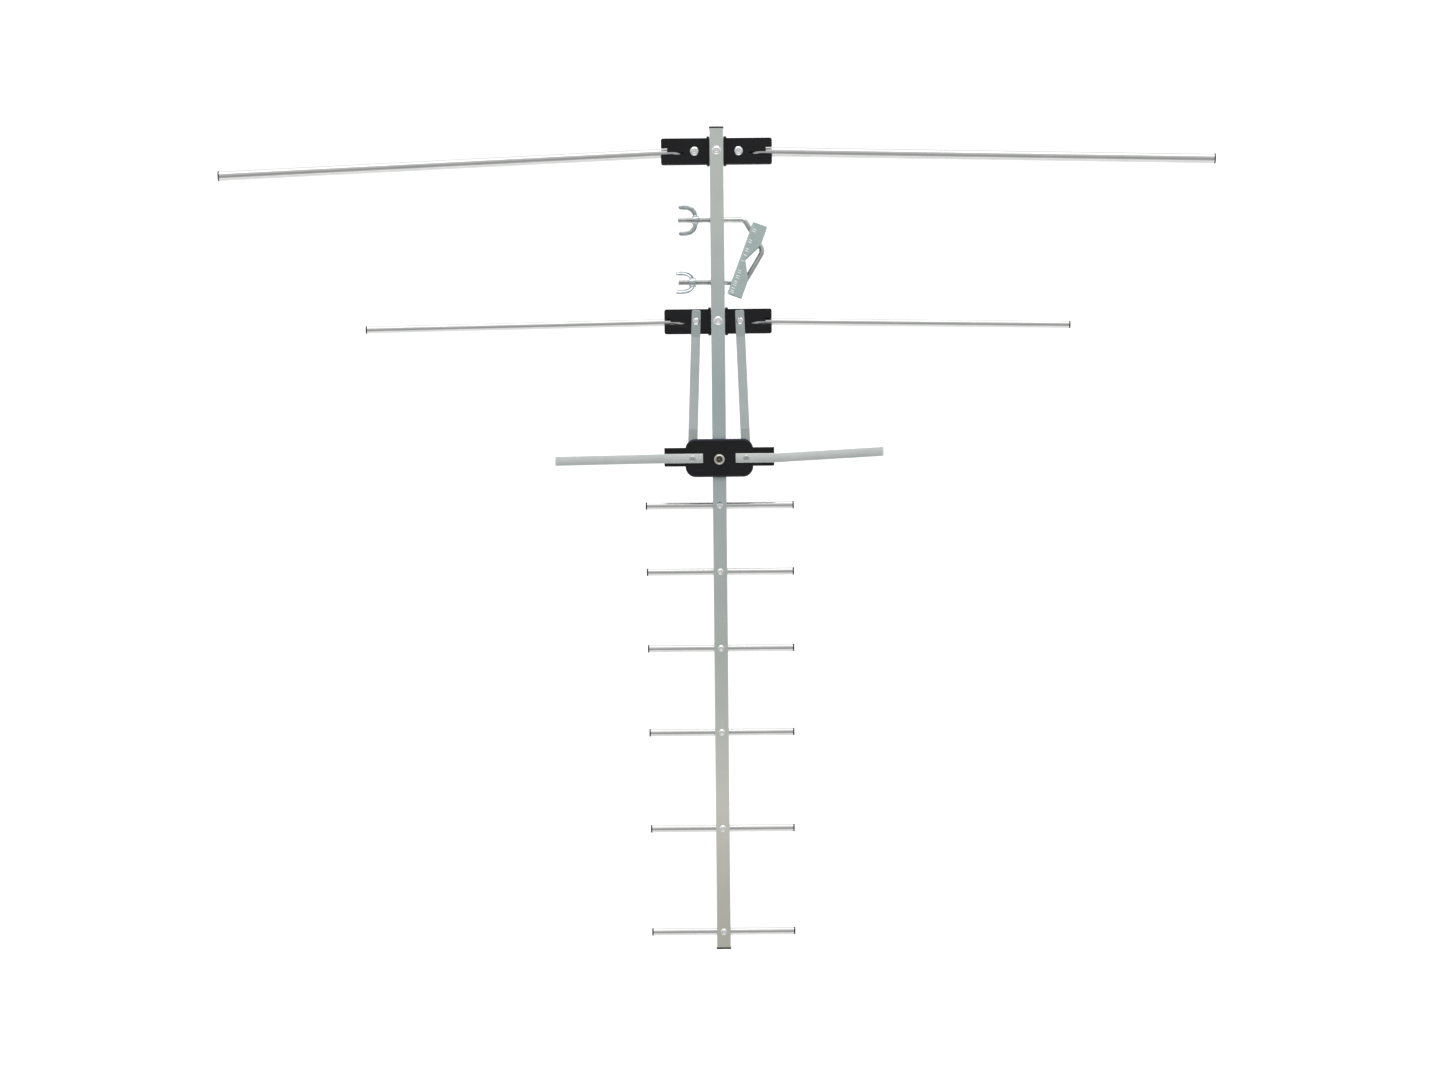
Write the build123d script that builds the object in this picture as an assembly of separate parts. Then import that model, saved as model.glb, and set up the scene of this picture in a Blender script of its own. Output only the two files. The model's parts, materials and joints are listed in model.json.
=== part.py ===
from build123d import *
import os
from math import atan2, degrees, pi, radians, sin, tan

# Combined VHF and UHF television aerial, in millimetres.
# The boom lies along Y with its rear (reflector) end at +Y, the elements lie along X, and the mast
# that carries it runs along Z. The origin is on the boom's axis, midway between the V-bolt's legs.

# ---- boom ----
BOOM_WIDTH = 15.0
BOOM_WALL = 1.0
BOOM_REAR_Y = 132.5
BOOM_FRONT_Y = -751.2
BOOM_CAP_FLANGE = 1.8
BOOM_CAP_PLUG = 12.0
BOOM_HALF = BOOM_WIDTH / 2

# ---- tube elements ----
TUBE_WALL = 0.9
TUBE_CAP_FLANGE = 1.5
TUBE_CAP_PLUG = 9.0
CAP_LIP = 0.15
FIT = 0.05            # radial clearance of plugs, pins and rivets in their own holes
GAP = 0.3             # air between pieces that move past each other

REFLECTOR_Y = 108.6
REFLECTOR_TUBE = 11.0
REFLECTOR_REACH = 516.5
REFLECTOR_SWEEP = {"left": 2.4, "right": 1.4}
DIPOLE_Y = -75.4
DIPOLE_TUBE = 8.0
DIPOLE_REACH = 357.5
DIPOLE_SWEEP = {"left": 0.9, "right": 1.1}
PIVOT_X = 23.7
PIVOT_SHANK = 5.0
PIVOT_HEAD = {"reflector": 10.0, "dipole": 8.0}
TAB_THICKNESS = 2.2
TAB_TAIL = 7.5        # from the pivot to the tab's rounded end
CRIMP_START = 9.5     # where the flat tab starts to open out into the round tube
CRIMP_END = 26.0

# ---- element holders ----
REFLECTOR_HOLDER = (120.0, 28.0)
DIPOLE_HOLDER = (116.0, 26.5)
HOLDER_PLATE = 2.0
HOLDER_TOP_Z = -2.7
HOLDER_WALL = 2.2
HOLDER_CORNER = 2.2
CHEEK_THICKNESS = 3.0
CHEEK_TOP_Z = 1.6
CHEEK_OVERHANG = 1.6
CHEEK_GAP = 0.2
CHEEK_INNER = BOOM_HALF + CHEEK_GAP
CHEEK_OUTER = CHEEK_INNER + CHEEK_THICKNESS
PLATE_UNDER_Z = HOLDER_TOP_Z - HOLDER_PLATE
HOLDER_RIVET_SHANK = 4.0
REAR_WASHER = (6.0, 0.8)      # radius and thickness
STOP_BLOCK = (12.0, 3.0)      # where the stop starts and ends, back from the holder's end
BOSS_DIAMETER = 13.0
MOUTH_DEPTH = 6.7
THROAT_SHARE = 0.82   # width of the throat as a share of the tube's diameter
THROAT_CORNER = 1.4
TONGUE_POINT = 11.2   # from the pivot to the sharp end of the leaf-shaped slot
TONGUE_TAPER = 6.0    # length over which the slot narrows to its point
TONGUE_NEAR = 0.4     # distances of the slot's two long edges from the holder's middle
TONGUE_FAR = 3.9
TONGUE_POINT_Y = 1.6

# ---- directors ----
DIRECTOR_Y = (-274.5, -346.0, -428.6, -519.4, -623.1, -734.4)
DIRECTOR_LENGTH = (160.0, 159.0, 158.0, 156.6, 155.2, 154.6)
DIRECTOR_TUBE = 8.0
DIRECTOR_RIVET_SHANK = 3.2
DIRECTOR_RIVET_HEAD = (7.0, 1.6)

# ---- phasing strips ----
STRIP_WIDTH = 10.0
STRIP_THICKNESS = 1.5
STRIP_TOP_OVERHANG = 12.0
STRIP_RAMP_START = 17.0
STRIP_RAMP_LENGTH = 100.0
STRIP_BOX_Z = 14.5
STRIP_TAIL = 6.0      # how far each strip runs past its terminal
STRIP_CORNER = 2.0
TERMINAL_X = 29.0
TERMINAL_Y = -224.0

# ---- folded UHF dipole ----
LOOP_HALF = 179.3
LOOP_WIDTH = 10.0
LOOP_THICKNESS = 1.5
LOOP_FRONT_END_X = 17.6
LOOP_REAR_Z = BOOM_HALF
LOOP_TOP_Z = 28.5
LOOP_SET_X = 62.0     # each wing leaves the box straight, and is set from here outwards
LOOP_SET = {"left": -0.8, "right": 2.9}

# ---- dipole box ----
BOX_Y = -223.5
BOX_SIZE = (72.8, 40.8)
BOX_CORNER = 11.0
BOX_ARM_HALF = 59.0
BOX_ARM_Y = (-232.3, -212.5)
BOX_ARM_MIDDLE_Y = sum(BOX_ARM_Y) / 2
BOX_ARM_WIDTH = BOX_ARM_Y[1] - BOX_ARM_Y[0]
BOX_ARM_CORNER = 1.2
BOX_TOP_Z = LOOP_TOP_Z - LOOP_THICKNESS
BOX_WALL = 2.0
BOX_BEVEL = 2.6
BASE_Z = (LOOP_REAR_Z + LOOP_THICKNESS, LOOP_REAR_Z + LOOP_THICKNESS + 2.0)
LEDGE_WIDTH = 3.0
LEDGE_HEIGHT = 1.2
TERMINAL_SHANK = 4.0
TERMINAL_POST = 9.0
TERMINAL_NUT = (7.0, 3.0)     # across flats and thickness
BOARD_Z = 17.0
BOARD_THICKNESS = 1.6
BOX_RIVET_OFFSET = 13.0
BOARD_POST = (16.0, 13.0, 4.5)    # offsets from the box's middle, and diameter

# ---- F connector ----
CONNECTOR_Y = -225.3
THREAD_RADIUS = 4.76
COLLAR_DIAMETER = 11.2
COLLAR_HEIGHT = 2.0
BARREL_LENGTH = 9.0
BARREL_BORE = 6.2
CONNECTOR_BOSS = (14.4, 0.9)    # diameter and height of the raised ring on the box
CONNECTOR_TAIL_Z = BOARD_Z + BOARD_THICKNESS
INNER_NUT = (12.7, 2.0)       # across flats and thickness

# ---- balun ----
BOARD_SIZE = (40.0, 33.0)
CORE_CENTRE = (-14.0, CONNECTOR_Y + 2.0, BOARD_Z + BOARD_THICKNESS + 2.4)
CORE_RING = (1.6, 3.6)        # inner and outer radius
CORE_HEIGHT = 3.0
WIRE_RADIUS = 0.3
WINDING_TURNS = 6

# ---- mast clamp ----
LEG_Y = 33.6
ROD_DIAMETER = 6.0
ROD_CLEARANCE = 0.3
LEG_END_X = -42.5
BEND_X = 29.4
APEX_X = 49.6
BEND_RADIUS = 7.0
APEX_RADIUS = 9.0
SADDLE_LENGTH = 81.4
SADDLE_DEPTH = 16.3
SADDLE_WIDTH = 26.0
SADDLE_SHEET = 2.0
SADDLE_BEND = 2.6
SADDLE_TILT = 20.35
SADDLE_CENTRE = (24.45, -7.45)
NOTCH_HALF = 20.0
NOTCH_WEB = 6.0
SLOT_WIDTH = 7.0
CLOSED_SLOT = (22.9, 37.0)     # along the web, from the saddle's middle towards its lower end
OPEN_SLOT = (26.4, 60.0)       # the same towards the upper end, where the slot is open
NUT_FACE_X = {"upper": -19.9, "lower": -23.5}
NUT_TURN = {"upper": 0.0, "lower": 42.0}
NUT_HUB = 11.0
NUT_HUB_LENGTH = 7.5
EAR_THICKNESS = 3.0
EAR_SPAN = 34.0
EAR_REACH = 22.0      # from the hub's face back to the ears' tips

SIDES = {"left": -1, "right": 1}


# ---- small helpers ----
def box_between(x_range, y_range, z_range):
    """A block between two corners."""
    size = [high - low for low, high in (x_range, y_range, z_range)]
    centre = [(high + low) / 2 for low, high in (x_range, y_range, z_range)]
    return Pos(*centre) * Box(*size)


def prism(sketch, z_low, z_high):
    """A sketch in XY pulled up between two heights."""
    return extrude(Plane.XY.offset(z_low) * sketch, amount=z_high - z_low)


def upright_rod(x, y, diameter, z_low, z_high):
    return Pos(x, y, (z_low + z_high) / 2) * Cylinder(diameter / 2, z_high - z_low)


def cross_rod(y, z, diameter, half_length):
    """A rod along X, centred on the boom."""
    return Pos(0, y, z) * Rot(0, 90, 0) * Cylinder(diameter / 2, 2 * half_length)


def turned(*profile):
    """A solid of revolution about Z from (radius, height) points."""
    corners = [(radius, 0, height) for radius, height in profile]
    return revolve(make_face(Polyline(*corners, close=True)), Axis.Z)


def blind_rivet(head, height, shank, grip, tail, tail_height):
    """A set blind rivet: dished head above z = 0, shank through the grip, mushroomed tail."""
    mandrel = shank * 0.28
    return turned(
        (0, -grip - tail_height),
        (tail * 0.32, -grip - tail_height),
        (tail * 0.5, -grip - tail_height * 0.55),
        (tail * 0.5, -grip),
        (shank / 2, -grip),
        (shank / 2, 0),
        (head / 2, 0),
        (head / 2, height * 0.3),
        (head * 0.42, height * 0.72),
        (head * 0.3, height),
        (mandrel + 0.5, height),
        (mandrel + 0.3, height - 0.7),
        (mandrel, height - 0.7),
        (mandrel, height - 0.25),
        (0, height - 0.1),
    )


def hexagon_nut(across_flats, thickness, bore):
    """A nut standing on z = 0."""
    outline = RegularPolygon(across_flats / 2, 6, major_radius=False)
    nut = prism(outline, 0, thickness)
    crown = Pos(0, 0, thickness / 2) * Cylinder(across_flats * 0.565, thickness)
    return (nut & crown) - upright_rod(0, 0, bore, -1, thickness + 1)


def tube(diameter, x_start, x_end):
    """A round tube along X."""
    middle = Pos((x_start + x_end) / 2, 0, 0) * Rot(0, 90, 0)
    outer = Cylinder(diameter / 2, x_end - x_start)
    inner = Cylinder(diameter / 2 - TUBE_WALL, x_end - x_start + 2)
    return middle * (outer - inner)


def tube_cap(diameter):
    """A moulded cap for a tube that ends at x = 0 and lies on the -X side."""
    bore = diameter / 2 - TUBE_WALL
    profile = (
        (0, -TUBE_CAP_PLUG),
        (bore - 0.8, -TUBE_CAP_PLUG),
        (bore - FIT, -TUBE_CAP_PLUG + 1.5),
        (bore - FIT, 0),
        (diameter / 2 + CAP_LIP, 0),
        (diameter / 2 + CAP_LIP, TUBE_CAP_FLANGE - 0.5),
        (diameter / 2 + CAP_LIP - 0.5, TUBE_CAP_FLANGE),
        (0, TUBE_CAP_FLANGE),
    )
    return Rot(0, 90, 0) * turned(*profile)


def oval_section(x, half_width, half_height, shoulder_y, shoulder_z):
    """A closed outline of four arcs across the tube at x: round, squashed or nearly flat."""
    signs = ((1, 1), (-1, 1), (-1, -1), (1, -1))
    corners = [(x, sy * shoulder_y, sz * shoulder_z) for sy, sz in signs]
    crests = [(x, 0, half_height), (x, -half_width, 0), (x, 0, -half_height), (x, half_width, 0)]
    arcs = [ThreePointArc(corners[i], crests[i], corners[(i + 1) % 4]) for i in range(4)]
    return make_face(Wire(arcs))


def crimp(diameter, flat_height):
    """The stretch where a pressed flat tube end opens out into the round tube."""
    flat_width = flat_height + pi * (diameter - flat_height) / 2
    middle_width = (flat_width * 0.62 + diameter * 0.38) / 2
    middle_height = (flat_height * 0.45 + diameter * 0.55) / 2
    diagonal = sin(radians(45))
    flat = oval_section(CRIMP_START, flat_width / 2, flat_height / 2,
                        (flat_width - flat_height) / 2, flat_height * 0.49)
    middle = oval_section((CRIMP_START + CRIMP_END) / 2, middle_width, middle_height,
                          middle_width * diagonal, middle_height * diagonal)
    round_end = oval_section(CRIMP_END, diameter / 2, diameter / 2,
                             diameter / 2 * diagonal, diameter / 2 * diagonal)
    return loft([flat, middle, round_end])


def arm(diameter, reach):
    """A folding arm along +X from its pivot at the origin: tab, crimp and tube."""
    flat_width = TAB_THICKNESS + pi * (diameter - TAB_THICKNESS) / 2
    length = CRIMP_START + TAB_TAIL
    plan = Pos(CRIMP_START - length / 2, 0) * Rectangle(length, flat_width)
    plan = fillet(plan.vertices().sort_by(Axis.X)[:2], flat_width * 0.42)
    tab = prism(plan, -TAB_THICKNESS / 2, TAB_THICKNESS / 2)
    outer = crimp(diameter, TAB_THICKNESS)
    inner = crimp(diameter - 2 * TUBE_WALL, TAB_THICKNESS - 2 * TUBE_WALL)
    straight = tube(diameter, CRIMP_END, reach - TUBE_CAP_FLANGE)
    hole = upright_rod(0, 0, PIVOT_SHANK + 2 * FIT, -5, 5)
    return tab - hole + (outer - inner) + straight


# ---- boom ----
def make_boom():
    length = BOOM_REAR_Y - BOOM_FRONT_Y
    middle_y = (BOOM_REAR_Y + BOOM_FRONT_Y) / 2
    outer = RectangleRounded(BOOM_WIDTH, BOOM_WIDTH, 1.0)
    inner = Rectangle(BOOM_WIDTH - 2 * BOOM_WALL, BOOM_WIDTH - 2 * BOOM_WALL)
    boom = Pos(0, middle_y, 0) * Rot(90, 0, 0) * extrude(outer - inner, amount=length / 2, both=True)
    for y in DIRECTOR_Y:
        boom -= cross_rod(y, 0, DIRECTOR_TUBE + 2 * FIT, BOOM_WIDTH)
        boom -= upright_rod(0, y, DIRECTOR_RIVET_SHANK + 2 * FIT, 0, BOOM_WIDTH)
    for y in (LEG_Y, -LEG_Y):
        boom -= cross_rod(y, 0, ROD_DIAMETER + 2 * ROD_CLEARANCE, BOOM_WIDTH)
    for y in (REFLECTOR_Y, DIPOLE_Y):
        boom -= upright_rod(0, y, HOLDER_RIVET_SHANK + 2 * FIT, -BOOM_WIDTH, BOOM_WIDTH)
    for y in (TERMINAL_Y - BOX_RIVET_OFFSET, TERMINAL_Y + BOX_RIVET_OFFSET):
        boom -= upright_rod(0, y, DIRECTOR_RIVET_SHANK + 2 * FIT, 0, BOOM_WIDTH)
    return boom


def make_boom_cap(y, outward):
    """A moulded square cap: flange outside, plug with a lead-in inside the boom."""
    flange = prism(RectangleRounded(BOOM_WIDTH + 0.8, BOOM_WIDTH + 0.8, 1.4), 0, BOOM_CAP_FLANGE)
    flange = chamfer(flange.faces().sort_by(Axis.Z)[-1].edges(), 0.5)
    bore = BOOM_WIDTH - 2 * BOOM_WALL - 2 * FIT
    plug = prism(Rectangle(bore, bore), -BOOM_CAP_PLUG, 0)
    plug = chamfer(plug.faces().sort_by(Axis.Z)[0].edges(), 0.9)
    hollow = prism(Rectangle(bore - 3, bore - 3), -BOOM_CAP_PLUG - 1, -1.5)
    return Pos(0, y, 0) * Rot(-90 * outward, 0, 0) * (flange + plug - hollow)


# ---- element holders and their rivets ----
def tube_axis_z(diameter):
    """Height of an arm's axis: its tube just clears the holder's front plate."""
    return PLATE_UNDER_Z - GAP - diameter / 2


def holder_floor_z(diameter):
    return tube_axis_z(diameter) - diameter / 2 - GAP


def make_holder(y, size, diameter, sweeps, fold_side):
    """A moulded holder riveted under the boom. Its arms fold out on the fold_side edge (+1 is +Y)."""
    length, height = size
    axis_z = tube_axis_z(diameter)
    floor_z = holder_floor_z(diameter)
    bottom_z = floor_z - HOLDER_PLATE
    outline = RectangleRounded(length, height, HOLDER_CORNER)
    cheeks = Rectangle(2 * CHEEK_OUTER, height)
    base = prism(outline, bottom_z, floor_z)
    plate = prism(outline - cheeks, PLATE_UNDER_Z, HOLDER_TOP_Z)
    edge_y = -fold_side * (height - HOLDER_WALL) / 2
    edge = Pos(0, edge_y) * Rectangle(length, HOLDER_WALL)
    back_wall = prism((outline & edge) - Rectangle(2 * CHEEK_INNER, height), bottom_z, HOLDER_TOP_Z)
    seat = prism(cheeks, bottom_z, -BOOM_HALF)
    holder = base + plate + back_wall + seat
    half_cheek = height / 2 + CHEEK_OVERHANG
    for side in (-1, 1):
        x_range = sorted((side * CHEEK_INNER, side * CHEEK_OUTER))
        cheek = box_between(x_range, (-half_cheek, half_cheek), (bottom_z, CHEEK_TOP_Z))
        tips = cheek.edges().filter_by(Axis.X).sort_by(Axis.Z)[-2:]
        holder += chamfer(tips, 1.2)
        pivot = side * PIVOT_X
        holder += upright_rod(pivot, 0, BOSS_DIAMETER, floor_z, axis_z - TAB_THICKNESS / 2 - GAP)
        holder += upright_rod(pivot, 0, BOSS_DIAMETER, axis_z + TAB_THICKNESS / 2 + GAP, PLATE_UNDER_Z)
        holder += stop_block(side, length, height, diameter, sweeps, fold_side)
    for side in (-1, 1):
        holder -= upright_rod(side * PIVOT_X, 0, PIVOT_SHANK + 2 * FIT, bottom_z - 1, 1)
        holder -= mouth(side, length, diameter)
    holder -= upright_rod(0, 0, HOLDER_RIVET_SHANK + 2 * FIT, bottom_z - 1, 1)
    return Pos(0, y, 0) * holder


def stop_block(side, length, height, diameter, sweeps, fold_side):
    """The block that an opened arm rests against, on the closed side of the holder."""
    start, end = (length / 2 - back for back in STOP_BLOCK)
    reach = end - PIVOT_X
    sweep = sweeps["right" if side > 0 else "left"]
    lean = max(0.0, reach * tan(radians(sweep)) * fold_side)
    inner_y = diameter / 2 + GAP + lean + 0.1
    y_range = sorted((-fold_side * inner_y, -fold_side * (height / 2 - HOLDER_WALL)))
    x_range = sorted((side * start, side * end))
    return box_between(x_range, y_range, (holder_floor_z(diameter), PLATE_UNDER_Z))


def mouth(side, length, diameter):
    """The opening in the front plate at one end: a short throat over the tube, running
    into a leaf-shaped slot that lies towards the rear of the antenna."""
    outer_x = length / 2
    slot_start = outer_x - MOUTH_DEPTH
    slot_end = PIVOT_X + TONGUE_POINT
    half_throat = THROAT_SHARE * diameter / 2
    throat = fillet(Rectangle(2 * MOUTH_DEPTH, 2 * half_throat).vertices(), THROAT_CORNER)
    leaf = make_face(Polyline(
        (slot_start + 2, -TONGUE_NEAR), (slot_end + TONGUE_TAPER, -TONGUE_NEAR),
        (slot_end, -TONGUE_POINT_Y), (slot_end, -TONGUE_POINT_Y - 0.4),
        (slot_end + TONGUE_TAPER, -TONGUE_FAR), (slot_start + 2, -half_throat + 0.1),
        close=True))
    cut = prism((Pos(outer_x, 0) * throat) + leaf, PLATE_UNDER_Z - 0.01, HOLDER_TOP_Z + 0.01)
    return cut if side > 0 else mirror(cut, about=Plane.YZ)


def make_pivot_rivets(y, diameter, seat_z, head):
    """Two rivets that the arms swing on; each passes through everything stacked on the holder."""
    grip = seat_z - (holder_floor_z(diameter) - HOLDER_PLATE) + REAR_WASHER[1]
    rivet = blind_rivet(head, 1.7, PIVOT_SHANK, grip, 8.0, 2.4)
    return Compound([Pos(side * PIVOT_X, y, seat_z) * rivet for side in (-1, 1)])


def make_rear_washers():
    """Steel washers under the tails of the four pivot rivets."""
    radius, thickness = REAR_WASHER
    ring = Cylinder(radius, thickness) - Cylinder(PIVOT_SHANK / 2 + FIT, 2 * thickness)
    washers = []
    for y, diameter in ((REFLECTOR_Y, REFLECTOR_TUBE), (DIPOLE_Y, DIPOLE_TUBE)):
        z = holder_floor_z(diameter) - HOLDER_PLATE - thickness / 2
        washers += [Pos(side * PIVOT_X, y, z) * ring for side in (-1, 1)]
    return Compound(washers)


def make_holder_rivet(y, diameter):
    """The long rivet through boom and holder."""
    grip = BOOM_HALF - (holder_floor_z(diameter) - HOLDER_PLATE)
    return Pos(0, y, BOOM_HALF) * blind_rivet(9.6, 1.7, HOLDER_RIVET_SHANK, grip, 8.0, 2.2)


def place_arm(shape, y, diameter, side, sweep):
    """Lay an arm on its pivot, swept towards the directors."""
    sign = SIDES[side]
    heading = -sweep if sign > 0 else 180 + sweep
    return Pos(sign * PIVOT_X, y, tube_axis_z(diameter)) * Rot(0, 0, heading) * shape


# ---- directors ----
def make_director(y, length):
    half = length / 2 - TUBE_CAP_FLANGE
    rod = tube(DIRECTOR_TUBE, -half, half)
    rod -= upright_rod(0, 0, DIRECTOR_RIVET_SHANK + 2 * FIT, -BOOM_HALF, BOOM_HALF)
    return Pos(0, y, 0) * rod


def make_director_caps():
    cap = tube_cap(DIRECTOR_TUBE)
    caps = []
    for y, length in zip(DIRECTOR_Y, DIRECTOR_LENGTH):
        end = length / 2 - TUBE_CAP_FLANGE
        caps.append(Pos(end, y, 0) * cap)
        caps.append(Pos(-end, y, 0) * Rot(0, 0, 180) * cap)
    return Compound(caps)


def make_director_rivets():
    """One rivet for each director, from the boom's face through both walls of the tube inside it."""
    head, height = DIRECTOR_RIVET_HEAD
    grip = BOOM_HALF + DIRECTOR_TUBE / 2 - TUBE_WALL
    rivet = blind_rivet(head, height, DIRECTOR_RIVET_SHANK, grip, DIRECTOR_RIVET_SHANK - 0.3, 0.4)
    return Compound([Pos(0, y, BOOM_HALF) * rivet for y in DIRECTOR_Y])


# ---- phasing strips ----
def make_phasing_strip(side):
    """A flat strip from the arm's pivot rivet, sloping up over its free length into the box."""
    sign = SIDES[side]
    run = DIPOLE_Y - TERMINAL_Y
    low, high = HOLDER_TOP_Z, STRIP_BOX_Z
    end = run + STRIP_TAIL
    spine = [(-STRIP_TOP_OVERHANG, low), (STRIP_RAMP_START, low),
             (STRIP_RAMP_START + STRIP_RAMP_LENGTH, high), (end, high)]
    upper = [(s, z + STRIP_THICKNESS) for s, z in reversed(spine)]
    profile = make_face(Polyline(*[(0, -s, z) for s, z in spine + upper], close=True))
    strip = extrude(profile, amount=STRIP_WIDTH / 2, both=True, dir=(1, 0, 0))
    tip = strip.edges().filter_by(Axis.Z).sort_by(Axis.Y)
    strip = fillet(tip[-2:], STRIP_CORNER)
    strip -= upright_rod(0, 0, PIVOT_SHANK + 2 * FIT, low - 1, low + 5)
    lean = sign * degrees(atan2(TERMINAL_X - PIVOT_X, run))
    placed = Pos(sign * PIVOT_X, DIPOLE_Y, 0) * Rot(0, 0, lean) * strip
    hole = TERMINAL_SHANK + 2 * FIT
    return placed - upright_rod(sign * TERMINAL_X, TERMINAL_Y, hole, high - 1, high + 5)


# ---- folded UHF dipole ----
def make_wing(side):
    """Half of the folded dipole beyond the box: two legs and the round outer bend."""
    sign = SIDES[side]
    outer = (LOOP_TOP_Z - LOOP_REAR_Z) / 2
    middle_z = (LOOP_TOP_Z + LOOP_REAR_Z) / 2
    bend_x = LOOP_HALF - outer
    length = bend_x - LOOP_SET_X

    def lobe(radius):
        slab = Pos(length / 2, 0) * Rectangle(length, 2 * radius)
        bend = Circle(radius) & (Pos(radius / 2, 0) * Rectangle(radius, 2 * radius))
        return slab + Pos(length, 0) * bend

    band = lobe(outer) - lobe(outer - LOOP_THICKNESS)
    solid = extrude(Plane.XZ * band, amount=LOOP_WIDTH / 2, both=True)
    set_angle = LOOP_SET[side]
    if sign < 0:
        solid = Rot(0, 0, 180) * solid
        set_angle = -set_angle
    return Pos(sign * LOOP_SET_X, TERMINAL_Y, middle_z) * Rot(0, 0, set_angle) * solid


def make_folded_dipole():
    half = LOOP_WIDTH / 2
    y_range = (TERMINAL_Y - half, TERMINAL_Y + half)
    overlap = LOOP_SET_X + 1.0
    loop = box_between((-overlap, overlap), y_range, (LOOP_REAR_Z, LOOP_REAR_Z + LOOP_THICKNESS))
    for sign in (-1, 1):
        x_range = sorted((sign * LOOP_FRONT_END_X, sign * overlap))
        leg = box_between(x_range, y_range, (BOX_TOP_Z, LOOP_TOP_Z))
        inner = leg.edges().filter_by(Axis.Z).sort_by(Axis.X)
        leg = fillet(inner[:2] if sign > 0 else inner[-2:], 0.8)
        hole = TERMINAL_SHANK + 2 * FIT
        leg -= upright_rod(sign * TERMINAL_X, TERMINAL_Y, hole, BOX_TOP_Z - 1, LOOP_TOP_Z + 1)
        loop += leg
    for side in SIDES:
        loop += make_wing(side)
    return loop


# ---- dipole box ----
def box_outline(inset):
    body = RectangleRounded(BOX_SIZE[0] - 2 * inset, BOX_SIZE[1] - 2 * inset, BOX_CORNER - inset)
    arms = RectangleRounded(2 * (BOX_ARM_HALF - inset), BOX_ARM_WIDTH - 2 * inset, BOX_ARM_CORNER)
    return (Pos(0, BOX_Y) * body) + (Pos(0, BOX_ARM_MIDDLE_Y) * arms)


def make_box_cover():
    top = BOX_TOP_Z
    body = RectangleRounded(BOX_SIZE[0], BOX_SIZE[1], BOX_CORNER)
    shell = prism(Pos(0, BOX_Y) * body, BASE_Z[0], top)
    shell = fillet(shell.faces().sort_by(Axis.Z)[-1].edges(), BOX_BEVEL)
    arms = RectangleRounded(2 * BOX_ARM_HALF, BOX_ARM_WIDTH, BOX_ARM_CORNER)
    shell += prism(Pos(0, BOX_ARM_MIDDLE_Y) * arms, BASE_Z[0], top)
    shell -= prism(box_outline(BOX_WALL), BASE_Z[0] - 1, top - BOX_WALL)
    ledge_y = (BOX_ARM_Y[1] - LEDGE_WIDTH, BOX_ARM_Y[1])
    for sign in (-1, 1):
        x_range = sorted((sign * (BOX_SIZE[0] / 2 + 1), sign * BOX_ARM_HALF))
        shell += box_between(x_range, ledge_y, (top, top + LEDGE_HEIGHT))
        post = (TERMINAL_POST, STRIP_BOX_Z + STRIP_THICKNESS, top - BOX_WALL)
        shell += upright_rod(sign * TERMINAL_X, TERMINAL_Y, *post)
        shell -= upright_rod(sign * TERMINAL_X, TERMINAL_Y, TERMINAL_SHANK + 2 * FIT, 0, top + 5)
        rear = BOX_Y + BOX_SIZE[1] / 2
        share = (DIPOLE_Y - rear) / (DIPOLE_Y - TERMINAL_Y)
        slot_x = sign * (PIVOT_X + (TERMINAL_X - PIVOT_X) * share)
        slot_half = STRIP_WIDTH / 2 + 0.4
        shell -= box_between((slot_x - slot_half, slot_x + slot_half), (rear - BOX_CORNER, rear + 1),
                             (STRIP_BOX_Z - 0.2, STRIP_BOX_Z + STRIP_THICKNESS + 0.3))
    shell += upright_rod(0, CONNECTOR_Y, CONNECTOR_BOSS[0], top, top + CONNECTOR_BOSS[1])
    return shell - upright_rod(0, CONNECTOR_Y, 2 * THREAD_RADIUS + 2 * FIT, 0, top + 5)


def make_box_base():
    """The plate that closes the box. Pads beside the dipole's rear leg stand it on the boom."""
    base = prism(box_outline(BOX_WALL + FIT), *BASE_Z)
    for sign in (-1, 1):
        y_near = TERMINAL_Y + sign * (LOOP_WIDTH / 2 + 0.3)
        y_far = TERMINAL_Y + sign * (BOX_RIVET_OFFSET + 4.5)
        y_range = sorted((y_near, y_far))
        base += box_between((-BOOM_HALF, BOOM_HALF), y_range, (BOOM_HALF, BASE_Z[0]))
    for y in (TERMINAL_Y - BOX_RIVET_OFFSET, TERMINAL_Y + BOX_RIVET_OFFSET):
        base -= upright_rod(0, y, DIRECTOR_RIVET_SHANK + 2 * FIT, 0, 20)
    post_x, post_y, post = BOARD_POST
    for x in (-post_x, post_x):
        for y in (BOX_Y - post_y, BOX_Y + post_y):
            base += upright_rod(x, y, post, BASE_Z[1], BOARD_Z)
    return base


def make_box_rivets():
    grip = BASE_Z[1] - (BOOM_HALF - BOOM_WALL)
    rivet = blind_rivet(6.5, 1.2, DIRECTOR_RIVET_SHANK, grip, 5.0, 1.8)
    offsets = (-BOX_RIVET_OFFSET, BOX_RIVET_OFFSET)
    return Compound([Pos(0, TERMINAL_Y + offset, BASE_Z[1]) * rivet for offset in offsets])


def at_terminals(shape, z):
    return Compound([Pos(sign * TERMINAL_X, TERMINAL_Y, z) * shape for sign in (-1, 1)])


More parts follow.
